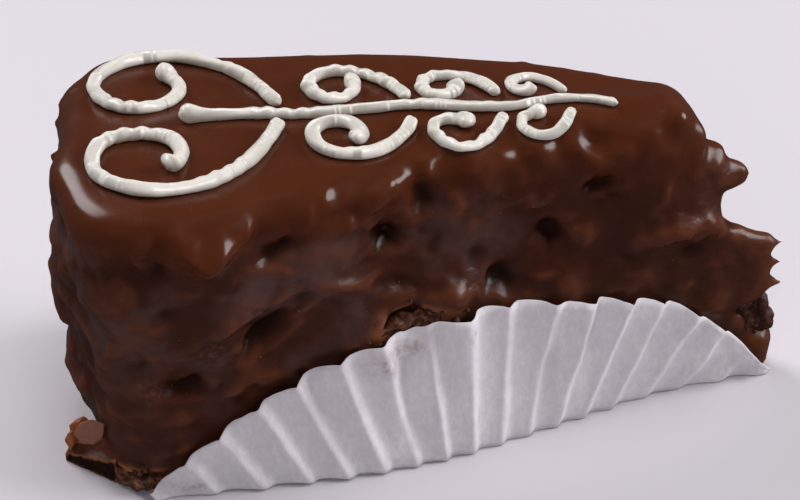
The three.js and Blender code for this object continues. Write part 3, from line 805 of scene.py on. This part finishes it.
def makeCoat():
    solid = mergedCopy("chocolate_coat")
    for vert in solid.verts:
        place = vert.co / mm - apex
        for low, high, limit in tipTrims:
            if low < place.z < high and place.x > limit:
                vert.co.x = (apex.x + limit) * mm
    for tooth in tipTeeth:
        addTooth(solid, *tooth)
    filler = mergedCopy("sponge", coatShape["fill"])
    fillerMesh = bpy.data.meshes.new("filler")
    filler.to_mesh(fillerMesh)
    filler.free()
    solid.from_mesh(fillerMesh)
    piece = remeshed(objectFrom("dippedCoat", solid), coatShape["voxel"], 0)
    mesh = piece.data
    edges = readEdges(mesh)
    points = readPoints(mesh)
    softer = averaged(points, edges, coatShape["smoothing"], coatShape["keep"])
    lightly = averaged(points, edges, coatShape["tipSmoothing"], coatShape["keep"])
    tipEnd = -coatShape["tipStart"] + coatShape["tipBlend"]
    tipShare = smooth(-coatShape["tipStart"], tipEnd, points[:, 0])[:, None]
    writePoints(mesh, mix(softer, lightly, tipShare))
    points = readPoints(mesh)
    rise, top = coatRelief(points, readNormals(mesh))
    footShare = smooth(0.6, 3.0, points[:, 2])
    tipCalm = 1 - 0.5 * smooth(-14, -5, points[:, 0])
    pushOut(mesh, rise * footShare * tipCalm, coatShape["foot"])
    paintCoat(mesh, edges, top)
    cutter = spongeForm("cavity", coatShape["cavityVoxel"], coatShape["cavityGrow"])
    hollow = readPoints(cutter.data)
    hollow[:, 2] = np.where(hollow[:, 2] < 2, -3, hollow[:, 2])
    writePoints(cutter.data, hollow)
    cut = piece.modifiers.new("cavity", "BOOLEAN")
    cut.operation = "DIFFERENCE"
    cut.object = cutter
    cut.solver = "MANIFOLD"
    applyModifiers(piece)
    bpy.data.objects.remove(cutter)
    return piece


# Shares of the colours: painted glow on fine and broad ridges and a warmer tone low at the tip, painted
# shade in hollows
coatPaint = {
    "fineRidgeGlow": 0.45,
    "broadRidgeGlow": 0.6,
    "tipWarmth": 0.7,
    "topCalm": 0.75,
    "hollowShade": 0.85,
    "patchEdgeGlow": 0.7,
    "lowBloomAndSheen": 0.35,
}


def paintCoat(mesh, edges, top):
    paint = coatPaint
    points = readPoints(mesh)
    normals = readNormals(mesh)
    x, _, z = points.T
    fineCurve = ((points - averaged(points, edges, 8)) * normals).sum(1)
    broadCurve = ((points - averaged(points, edges, 60)) * normals).sum(1)
    # painted glow on fine and broad ridges, then a warmer tone low at the tip
    warm = paint["fineRidgeGlow"] * smooth(0.02, 0.16, fineCurve)
    warm += paint["broadRidgeGlow"] * smooth(0.05, 0.7, broadCurve)
    warm += paint["tipWarmth"] * smooth(-9, -6, x) * smooth(10, 7, z)
    # painted shade: darker where the surface dips below its broad surroundings
    hollow = paint["hollowShade"] * smooth(-0.15, -1.1, broadCurve)
    writeShare(mesh, "warm", np.clip(warm, 0, 1) * (1 - paint["topCalm"] * top))
    # painted glow: thin edges at the low corner and around the bare patch, on convex parts only
    corner = np.linalg.norm(points[:, :2] - np.array(cornerEdge["at"]), axis=1)
    low = smooth(cornerEdge["height"] + 1.2, cornerEdge["height"], z)
    thin = smooth(cornerEdge["reach"], 4.0, corner) * low
    patch = np.linalg.norm((points - np.array(barePatch["at"])) / np.array(barePatch["reach"]), axis=1)
    thin += paint["patchEdgeGlow"] * smooth(1.35, 1.0, patch)
    writeShare(mesh, "edge", np.clip(thin, 0, 1) * smooth(0.0, 0.08, fineCurve))
    writeShare(mesh, "hollow", hollow)
    writeShare(mesh, "top", top)
    # painted sheen and bloom: stronger higher up the sides and towards the rim end
    upper = mix(paint["lowBloomAndSheen"], 1, smooth(12, 40, z))
    writeShare(mesh, "bloomAndSheen", (1 - top) * upper * smooth(-30, -60, x) * (1 - hollow))
    along = alongSide(near, points)
    dust = np.zeros(len(points))
    for at, height, reachAlong, reachUp in dustySpots:
        spot = ((along - at) / reachAlong) ** 2 + ((z - height) / reachUp) ** 2
        dust += np.exp(-spot) * smooth(0.1, 0.5, -normals[:, 1])
    writeShare(mesh, "dust", np.clip(dust, 0, 1))


coatPiece = makeCoat()
finishPiece(coatPiece, "chocolate", chocolate, "chocolate_coat")
coatMesh = coatPiece.data
coatTree = BVHTree.FromPolygons(
    [vert.co for vert in coatMesh.vertices], [poly.vertices for poly in coatMesh.polygons]
)
print("coat:", len(coatMesh.polygons), "faces")

spongePiece = makeSponge()
finishPiece(spongePiece, "crumb", crumb, "sponge")
print("sponge:", len(spongePiece.data.polygons), "faces")

# Piped icing
icingShape = {  # lengths in mm, turns in degrees
    "step": 0.34,
    "sides": 14,
    "radius": 1.1,
    "flatness": 0.84,
    "sink": 0.12,  # how deep a rope sits in the chocolate
    "lobes": 0.1,  # how far its section is from round
    "twist": 2.6,  # mm along the rope for one bead
    "heading": 112,
    "tightening": 1.9,
    "rootOffset": 3.0,
    "strayTurn": 6,
    "strayLength": 0.02,
    "wander": 0.35,  # how far a rope strays from its line, in long waves
    "quiver": 0.1,  # and in short ones
    "swell": 0.2,  # how its thickness changes, in the same two ways
    "pulse": 0.06,
    "settle": 15,  # steps over which the height under a rope is evened out
    "bead": 0.17,
}
stemShape = {"start": -99, "end": -32, "wave": 0.7, "waves": 2.5, "hook": 1.5, "blob": 1.9}
scrollShapes = [
    {"root": -84, "length": 68, "turn": 400, "radius": 1.2, "blob": 2.2},
    {"root": -64, "length": 37, "turn": 390, "radius": 1.15, "blob": 1.9},
    {"root": -50, "length": 26, "turn": 345, "radius": 1.05, "blob": 1.7},
    {"root": -39.5, "length": 17, "turn": 300, "radius": 0.95, "blob": 1.5},
]


def coatTop(x, y):
    hit = coatTree.ray_cast(toWorld((x, y, 90)), Vector((0, 0, -1)))[0]
    return hit.z / mm if hit else wedge["height"]


def stemPath():
    steps = round((stemShape["end"] - stemShape["start"]) / icingShape["step"])
    path = []
    for i in range(steps + 1):
        share = i / steps
        hook = stemShape["hook"] * float(np.clip((share - 0.86) / 0.14, 0, 1)) ** 2
        y = stemShape["wave"] * math.sin(2 * math.pi * stemShape["waves"] * share) - hook
        radius = icingShape["radius"] * mix(1.05, 0.75, share)
        radius += (stemShape["blob"] - icingShape["radius"]) * float(bell(share, 0.05))
        path.append((mix(stemShape["start"], stemShape["end"], share), y, radius))
    return path


def scrollPath(side, scroll, pair):
    stray = side * (1 if pair % 2 == 0 else -1)
    length = scroll["length"] * (1 + stray * icingShape["strayLength"])
    steps = round(length / icingShape["step"])
    x, y = scroll["root"], side * icingShape["rootOffset"]
    path = [(x, y, scroll["radius"])]
    for i in range(1, steps + 1):
        share = i / steps
        wound = (scroll["turn"] + stray * icingShape["strayTurn"]) * share ** icingShape["tightening"]
        heading = math.radians(icingShape["heading"] + wound)
        x += length / steps * math.cos(heading)
        y += side * length / steps * math.sin(heading)
        swell = (scroll["blob"] - scroll["radius"]) * float(bell(1 - share, 2 / scroll["length"]))
        path.append((x, y, scroll["radius"] + swell))
    return path


def makeRope(name, path, seed):
    draw = random.Random(seed)
    shift = draw.uniform(0, 90)
    places = []
    for i, (x, y, radius) in enumerate(path):
        wander = icingShape["wander"] * noise.noise((i * 0.05, shift, 0.0))
        wander += icingShape["quiver"] * noise.noise((i * 0.13, shift, 4.0))
        before, after = path[max(i - 1, 0)], path[min(i + 1, len(path) - 1)]
        heading = Vector((after[0] - before[0], after[1] - before[1])).normalized()
        x, y = x - wander * heading.y, y + wander * heading.x
        swell = 0.95 + icingShape["swell"] * noise.noise((i * 0.05, shift, 9.0))
        swell += icingShape["pulse"] * noise.noise((i * 0.13, shift, 13.0))
        places.append((x, y, radius * swell, heading))
    count = len(places)
    heights = [coatTop(x, y) for x, y, _, _ in places]
    settle = icingShape["settle"]
    heights = np.convolve(np.pad(heights, settle // 2, mode="edge"), np.ones(settle) / settle, mode="valid")
    frames = []
    for i, (x, y, radius, heading) in enumerate(places):
        fromStart = i * icingShape["step"] / radius
        fromEnd = (count - 1 - i) * icingShape["step"] / radius
        roundStart = math.sqrt(max(1 - max(1 - fromStart, 0) ** 2, 0.02))
        roundEnd = math.sqrt(max(1 - max(1 - fromEnd, 0) ** 2, 0.02))
        size = radius * min(roundStart, roundEnd)
        z = heights[i] + radius * icingShape["flatness"] - icingShape["sink"]
        across = Vector((-heading.y, heading.x, 0))
        forward = Vector((heading.x, heading.y, 0))
        turned = Matrix((across * size, Vector((0, 0, size * icingShape["flatness"])), forward))
        frames.append(Matrix.Translation(Vector((x, y, z))) @ turned.transposed().to_4x4())
    bm = bmesh.new()
    bmesh.ops.create_circle(bm, cap_ends=True, segments=icingShape["sides"], radius=1)
    bmesh.ops.transform(bm, matrix=frames[0], verts=bm.verts)
    face = bm.faces[:][0]
    for i in range(1, count):
        made = bmesh.ops.extrude_face_region(bm, geom=[face])
        face = next(part for part in made["geom"] if isinstance(part, bmesh.types.BMFace))
        bmesh.ops.transform(bm, matrix=frames[i] @ frames[i - 1].inverted(), verts=face.verts)
    bmesh.ops.recalc_face_normals(bm, faces=bm.faces)
    bmesh.ops.translate(bm, vec=apex, verts=bm.verts)
    bmesh.ops.scale(bm, vec=(mm, mm, mm), verts=bm.verts)
    piece = objectFrom(name, bm)
    centres = np.array([(x, y, heading.x, heading.y) for x, y, _, heading in places])
    ripple(piece.data, centres, heights, shift)
    return piece


def ripple(mesh, centres, heights, shift):  # beads, grooves and small dents along a rope
    points = readPoints(mesh)
    ring = np.minimum(np.arange(len(points)) // icingShape["sides"], len(centres) - 1)
    away = points[:, :2] - centres[ring, :2]
    across = away[:, 1] * centres[ring, 2] - away[:, 0] * centres[ring, 3]
    turn = np.arctan2(points[:, 2] - heights[ring] - 1, across)
    run = ring * icingShape["step"]
    beaded = smooth(-0.05, 0.3, np.array([noise.noise((s * 0.09, shift, 50.0)) for s in run]))
    bead = beaded * np.sin(2 * math.pi * run / icingShape["twist"] + turn)
    lobe = icingShape["lobes"] * (1 - beaded) * np.cos(3 * turn + run * 0.25)
    dents = 0.05 * waves(points, 1.5, shift) + 0.12 * waves(points, 3.2, shift + 7)
    low = smooth(0.9, 0.1, points[:, 2] - heights[ring])
    pushOut(mesh, (icingShape["bead"] * bead + lobe + dents) * (1 - 0.7 * low))


def makeIcing():
    finishPiece(makeRope("pipedStem", stemPath(), 5), "icing", icing, "icing_stem")
    for pair, scroll in enumerate(scrollShapes):
        for sideName, side in (("near", near), ("far", far)):
            name = f"pipedScroll{sideName.capitalize()}{pair + 1}"
            piece = makeRope(name, scrollPath(side, scroll, pair), 20 + 2 * pair + side)
            finishPiece(piece, "icing", icing, f"icing_scroll_{sideName}_{pair + 1}")


makeIcing()
print("icing: stem and", 2 * len(scrollShapes), "scrolls")

# Paper case
paperShape = {  # lengths in mm
    "sheet": 0.14,  # thickness
    "foot": 0.08,
    "discRadius": 76,
    "foldDistance": 52.5,
    "middle": 55,
    "turns": (math.radians(-45.4), math.radians(45.6)),
    "stretch": 1.1,
    "swell": 0.13,
    "swellAt": 18,
    "swellReach": 14,
    "pleats": 17,
    "pleatAtFold": 1.0,
    "pleatAtEdge": 2.0,
    "crestFall": 0.3,  # the part of a pleat in which it falls from its crest
    "crestCurve": 1.7,
    "bow": 7.2,
    "bowMiddle": 67,
    "bowReach": 36,
    "leastHeight": 1.3,
    "steepest": 0.6,
    "clearance": 0.5,
    "columns": 16,  # for each pleat
    "flapRows": 16,
    "baseRows": 10,
}
# Brown marks on the near flap: along, height, reach along, reach up
paperStains = [
    (71.5, 19.6, 3.6, 1.7), (67.5, 20.6, 2.4, 1.4), (104.6, 1.8, 1.5, 0.9), (101.8, 2.0, 1.2, 0.7),
    (58, 22, 0.8, 0.8),
]


def stretchAt(along):
    shape = paperShape
    return shape["stretch"] + shape["swell"] * float(bell(along - shape["swellAt"], shape["swellReach"]))


def flapHeight(along):
    reach = math.sqrt(max(paperShape["discRadius"] ** 2 - (along - paperShape["middle"]) ** 2, 0))
    return max((reach - paperShape["foldDistance"]) * stretchAt(along), paperShape["leastHeight"])


def coatOut(side, along, z):  # how far the coat stands out of a long side's plane near one spot
    out = -1.0
    for stepAlong, stepUp in ((0, 0), (1.6, 0), (-1.6, 0), (0, 1.6), (0, -1.6)):
        level = max(z + stepUp, 1.2)
        start = onSide(side, along + stepAlong, level, 60)
        inwards = onSide(side, along, level, -1) - onSide(side, along, level, 0)
        hit, _, _, distance = coatTree.ray_cast(toWorld(start), inwards.normalized())
        if hit:
            out = max(out, 60 - distance / mm)
    return out


def pleatRise(phase):  # towards the tip a quick fall from a crisp crest, then a slow rise to the next
    back, fall = 1 - phase, paperShape["crestFall"]
    if back < fall:
        return 1 - float(smooth(0, fall, back))
    return ((back - fall) / (1 - fall)) ** paperShape["crestCurve"]


def flapPoint(side, turn, share, pleatNumber):
    shape = paperShape
    reach = mix(shape["foldDistance"] / math.cos(turn), shape["discRadius"], share)
    along = shape["middle"] + reach * math.sin(turn)
    rise = (reach * math.cos(turn) - shape["foldDistance"]) * stretchAt(along)
    up = max(rise, share * shape["leastHeight"])
    tall = flapHeight(along)
    foldOut = shape["clearance"] + shape["bow"] * float(bell(along - shape["bowMiddle"], shape["bowReach"]))
    edgeOut = coatOut(side, along, tall) + shape["clearance"]
    lean = min(max((foldOut - edgeOut) / tall, -shape["steepest"]), shape["steepest"])
    z = up * math.sqrt(1 - lean * lean)
    number = math.floor(pleatNumber)
    uneven = 0.8 + 0.4 * noise.noise((number * 3.1, side * 9.0, 2.0))
    wiggle = 0.09 * noise.noise((number * 5.3, share * 3.2, side * 4.0))
    wiggle += 0.04 * noise.noise((number * 2.3, share * 11.0, side * 6.0))
    phase = min(max(pleatNumber - number + wiggle, 0), 0.9999)
    depth = mix(shape["pleatAtFold"], shape["pleatAtEdge"], up / flapHeight(shape["middle"]))
    pleat = depth * uneven * pleatRise(phase) * (1 - 0.5 * smooth(96, 112, along))
    leaning = foldOut - up * lean
    contact = coatOut(side, along, z) + shape["clearance"]
    softMax = max(leaning, contact) + 0.3 * math.exp(-abs(leaning - contact) / 0.8)
    edgeDip = 0.22 * share ** 5 * (math.sqrt(1 - abs(1 - 2 * phase)) - 0.5)
    return onSide(side, along, z + edgeDip, pleat + softMax)


def makePaper():
    shape = paperShape
    columns = shape["pleats"] * shape["columns"]
    rows = 2 * shape["flapRows"] + shape["baseRows"]
    bm = bmesh.new()
    bmesh.ops.create_grid(bm, x_segments=columns, y_segments=rows, size=0.5)
    firstTurn, lastTurn = shape["turns"]
    for vert in bm.verts:
        column = round((vert.co.x + 0.5) * columns)
        row = round((vert.co.y + 0.5) * rows)
        pleatNumber = min(column / shape["columns"], shape["pleats"] - 0.0001)
        turn = mix(firstTurn, lastTurn, column / columns)
        if row <= shape["flapRows"]:
            place = flapPoint(near, turn, 1 - row / shape["flapRows"], pleatNumber)
        elif row >= rows - shape["flapRows"]:
            place = flapPoint(far, turn, 1 - (rows - row) / shape["flapRows"], pleatNumber)
        else:
            share = (row - shape["flapRows"]) / shape["baseRows"]
            place = flapPoint(near, turn, 0, pleatNumber).lerp(flapPoint(far, turn, 0, pleatNumber), share)
        vert.co = toWorld(place)
    piece = objectFrom("pleatedPaper", bm)
    mesh = piece.data
    edges = readEdges(mesh)
    points = readPoints(mesh)
    soft = averaged(points, edges, 1, 0.5)
    boundary = np.bincount(edges.ravel(), minlength=len(points)) < 4
    soft[boundary] = points[boundary]
    points = soft
    normals = readNormals(mesh)
    standing = smooth(0.5, 4.0, points[:, 2])
    crumple = 0.16 * waves(points, 4.5, 61.0) + 0.1 * waves(points * np.array([1.6, 1.6, 0.8]), 2.0, 71.0)
    points += normals * (crumple * standing)[:, None]
    points[:, 2] = np.maximum(points[:, 2], shape["foot"])
    writePoints(mesh, points)
    run = alongSide(near, points)
    stain = np.zeros(len(points))
    for along, height, reachAlong, reachUp in paperStains:
        spot = ((run - along) / reachAlong) ** 2 + ((points[:, 2] - height) / reachUp) ** 2
        stain += np.exp(-spot) * (points[:, 1] < 0)
    writeShare(mesh, "stain", np.clip(1.2 * stain, 0, 1))
    wall = piece.modifiers.new("wall", "SOLIDIFY")
    wall.thickness = shape["sheet"] * mm
    wall.offset = 0
    return applyModifiers(piece)


paperPiece = makePaper()
finishPiece(paperPiece, "paper", whitePaper, "paper_case")
print("paper:", len(paperPiece.data.polygons), "faces")

# Broken chocolate at the foot
blockShape = {
    "voxel": 0.2, "smoothing": 4, "rough": 0.1, "back": 1.0, "foot": 0.02,
    # the second colour, on faces that do not face up, is painted shade on the block's sides
    "skin": (0.09, 0.028, 0.0145), "broken": (0.014, 0.004, 0.002),
}
flakeShapes = {  # middle, thickness and radii in mm, which way the face looks, outline seed
    "paleFlake": {
        "node": "foot_shard", "at": (-115.2, -17.8, 7.3), "radii": (2.7, 2.4), "thickness": 0.9,
        "facing": (-0.25, -0.72, 0.62), "corners": 7, "seed": 4,
        "skin": (0.26, 0.112, 0.082), "broken": (0.2, 0.066, 0.03),
    },
    "standingFlakeA": {
        "node": "foot_nub_a", "at": (-116.8, -14.4, 5.1), "radii": (1.8, 2.3), "thickness": 2.0,
        "facing": (-0.4, -0.9, 0.2), "corners": 11, "seed": 7,
        "skin": (0.36, 0.115, 0.052), "broken": (0.32, 0.096, 0.04),
    },
    "standingFlakeB": {
        "node": "foot_nub_b", "at": (-118.3, -15.4, 4.2), "radii": (0.9, 1.6), "thickness": 1.3,
        "facing": (-0.6, -0.8, 0.1), "corners": 11, "seed": 9,
        "skin": (0.36, 0.115, 0.052), "broken": (0.32, 0.096, 0.04),
    },
}


def roughened(piece, rough, part, nodeName):
    mesh = piece.data
    points = readPoints(mesh)
    normals = readNormals(mesh)
    # faces that do not face up: broken faces, also painted dark as shade
    broken = smooth(0.6, 0.3, normals[:, 2])
    rise = rough * (0.4 + broken) * (waves(points, 1.6, 3.0) + 0.6 * waves(points, 0.8, 9.0))
    pushOut(mesh, rise, blockShape["foot"])
    points = readPoints(mesh)
    ridge = ((points - averaged(points, readEdges(mesh), 10)) * normals).sum(1)
    writeShare(mesh, "broken", broken)
    # ridges get a lighter colour, a painted glow
    writeShare(mesh, "rim", smooth(0.03, 0.13, ridge))
    material = brokenMaterial(piece.name + "Skin", part["skin"], part["broken"])
    finishPiece(piece, "broken_chocolate", material, nodeName)


def makeBlock():
    block = mergedCopy("foot_block")
    bmesh.ops.translate(block, vec=(0, blockShape["back"] * mm, 0), verts=block.verts)
    block = objectFrom("brokenBlock", block)
    remeshed(block, blockShape["voxel"], blockShape["smoothing"])
    roughened(block, blockShape["rough"], blockShape, "foot_block")


flakeFinish = {"voxel": 0.16, "smoothing": 5, "rough": 0.1}


def makeFlake(name, flake):
    draw = random.Random(flake["seed"])
    bm = bmesh.new()
    made = bmesh.ops.create_circle(bm, cap_ends=True, segments=flake["corners"], radius=1)
    for vert in made["verts"]:
        vert.co *= draw.uniform(0.8, 1.15)
    bmesh.ops.scale(bm, vec=(*flake["radii"], 1), verts=bm.verts)
    raised = bmesh.ops.extrude_face_region(bm, geom=bm.faces[:])
    top = [part for part in raised["geom"] if isinstance(part, bmesh.types.BMVert)]
    bmesh.ops.translate(bm, vec=(0, 0, flake["thickness"]), verts=top)
    bmesh.ops.recalc_face_normals(bm, faces=bm.faces)
    turned = Vector(flake["facing"]).to_track_quat("Z", "Y").to_matrix().to_4x4()
    middle = Matrix.Translation((0, 0, -flake["thickness"] / 2))
    bmesh.ops.transform(bm, matrix=Matrix.Translation(flake["at"]) @ turned @ middle, verts=bm.verts)
    bmesh.ops.translate(bm, vec=apex, verts=bm.verts)
    bmesh.ops.scale(bm, vec=(mm, mm, mm), verts=bm.verts)
    piece = remeshed(objectFrom(name, bm), flakeFinish["voxel"], flakeFinish["smoothing"])
    roughened(piece, flakeFinish["rough"], flake, flake["node"])


makeBlock()
for flakeName, flake in flakeShapes.items():
    makeFlake(flakeName, flake)
print("foot: block and", len(flakeShapes), "flakes")

# Torn crumb at the near corner, in the bare patch and at the tip
# Along each line: start, end, how many lumps, their radii, how far they stray
tornLines = {
    "tornCrumb": [
        ((-112.4, -17.2, 1.8), (-109.8, -21.6, 1.6), 60, (0.35, 0.9), 1.0),
        ((-109.8, -21.6, 1.6), (-107.4, -23.9, 1.4), 56, (0.35, 0.85), 0.8),
        ((-107.4, -23.9, 1.4), (-103.2, -22.6, 1.6), 56, (0.35, 0.85), 0.8),
        (onSide(near, 58.6, 25.8, 0.4), onSide(near, 66.5, 24.6, 0.8), 110, (0.4, 1.1), 1.0),
        (onSide(near, 66.5, 24.6, 0.8), onSide(near, 74.4, 22.2, 1.2), 110, (0.4, 1.1), 1.0),
    ],
    "glazedCrumb": [
        ((-3.8, -0.6, 15.6), (-3.0, -1.0, 12.4), 18, (0.5, 1.2), 0.9),
        ((-3.0, -0.8, 12.2), (-2.0, -0.6, 8.8), 22, (0.6, 1.6), 0.9),
        ((-7.0, -0.8, 15.5), (-4.8, -0.6, 9.5), 26, (1.0, 1.8), 0.9),
    ],
}
tornFinish = {"seed": 12, "voxel": 0.24, "coarse": 0.3, "foot": 0.2}
tornSurface = {
    "tornCrumb": {"smoothing": 2, "fine": 0.25},
    "glazedCrumb": {"smoothing": 5, "fine": 0.06},
}


def makeTornCrumb(name, material):
    draw = random.Random(tornFinish["seed"])
    bm = bmesh.new()
    for start, end, count, sizes, stray in tornLines[name]:
        for _ in range(count):
            place = Vector(start).lerp(Vector(end), draw.random())
            place += Vector([draw.uniform(-stray, stray) for _ in range(3)])
            size = mix(*sizes, draw.random() ** 1.6)
            place.z = max(place.z, size * 0.9 + tornFinish["foot"])
            bmesh.ops.create_icosphere(
                bm, subdivisions=2, radius=size * mm, matrix=Matrix.Translation(toWorld(place))
            )
    surface = tornSurface[name]
    piece = remeshed(objectFrom(name, bm), tornFinish["voxel"], surface["smoothing"])
    points = readPoints(piece.data)
    rough = tornFinish["coarse"] * waves(points, 1.5, 5.0) + surface["fine"] * waves(points, 0.7, 15.0)
    pushOut(piece.data, rough, tornFinish["foot"])
    finishPiece(piece, "crumb", material)


# the corner and bare-patch crumb uses the lightened crumb colour, painted light against its shade
makeTornCrumb("tornCrumb", litMoistCrumb)
makeTornCrumb("glazedCrumb", glazedCrumb)
print("torn crumb: corner, bare patch and tip")

# Crumbs and specks
bitShape = {"stretch": (0.65, 1.2), "dent": 0.35, "dentWaves": 1.3, "crowding": 1.6}
looseBits = {
    "crumbs": {
        "seed": 3, "slot": "crumb", "detail": 2, "sizes": (0.25, 0.75), "sink": 0.3,
        # middle of a cluster (along, height), its spread and how many
        "clusters": [((66, 24), (6, 2.2), 34), ((110, 2.5), (3.5, 2.0), 26), ((104, 2.2), (4, 1.2), 12),
                     ((4, 12), (2, 3), 26)],
    },
    "specks": {
        "seed": 8, "slot": "broken_chocolate", "detail": 1, "sizes": (0.06, 0.15), "sink": 0.3,
        "clusters": [((98, 26), (4, 5), 18), ((86, 30), (10, 8), 16), ((60, 36), (22, 9), 18),
                     ((108, 20), (4, 3), 10), ((25, 28), (10, 8), 10)],
    },
}


def makeBits(name, material):
    bits = looseBits[name]
    draw = random.Random(bits["seed"])
    bm = bmesh.new()
    for (along, height), (spreadAlong, spreadUp), count in bits["clusters"]:
        for _ in range(count):
            at = draw.gauss(along, spreadAlong / bitShape["crowding"])
            level = max(draw.gauss(height, spreadUp / bitShape["crowding"]), 1.0)
            size = mix(*bits["sizes"], draw.random() ** 2.2)
            start = onSide(near, at, level, 60)
            inwards = onSide(near, at, level, -1) - onSide(near, at, level, 0)
            hit, normal, _, _ = coatTree.ray_cast(toWorld(start), inwards.normalized())
            turns = [draw.uniform(0, 2 * math.pi) for _ in range(3)]
            stretches = [draw.uniform(*bitShape["stretch"]) for _ in range(3)]
            if hit is None:
                continue
            place = hit + normal * size * mm * (1 - bits["sink"])
            turned = Matrix.Rotation(turns[0], 4, "X") @ Matrix.Rotation(turns[1], 4, "Y")
            shaped = Matrix.Diagonal((*stretches, 1)) @ Matrix.Scale(size * mm, 4)
            made = bmesh.ops.create_icosphere(
                bm, subdivisions=bits["detail"], radius=1,
                matrix=Matrix.Translation(place) @ turned @ shaped,
            )
            for vert in made["verts"]:
                spot = (vert.co - place) / (size * mm) * bitShape["dentWaves"]
                dent = bitShape["dent"] * noise.noise(spot + Vector((turns[2] * 9, 0, 0)))
                vert.co += (vert.co - place) * dent
    piece = objectFrom(name, bm)
    finishPiece(piece, bits["slot"], material)


makeBits("crumbs", crumb)
makeBits("specks", brokenMaterial("goldenSpecks", (0.22, 0.11, 0.06), (0.2, 0.1, 0.05)))
print("loose bits: crumbs and specks")
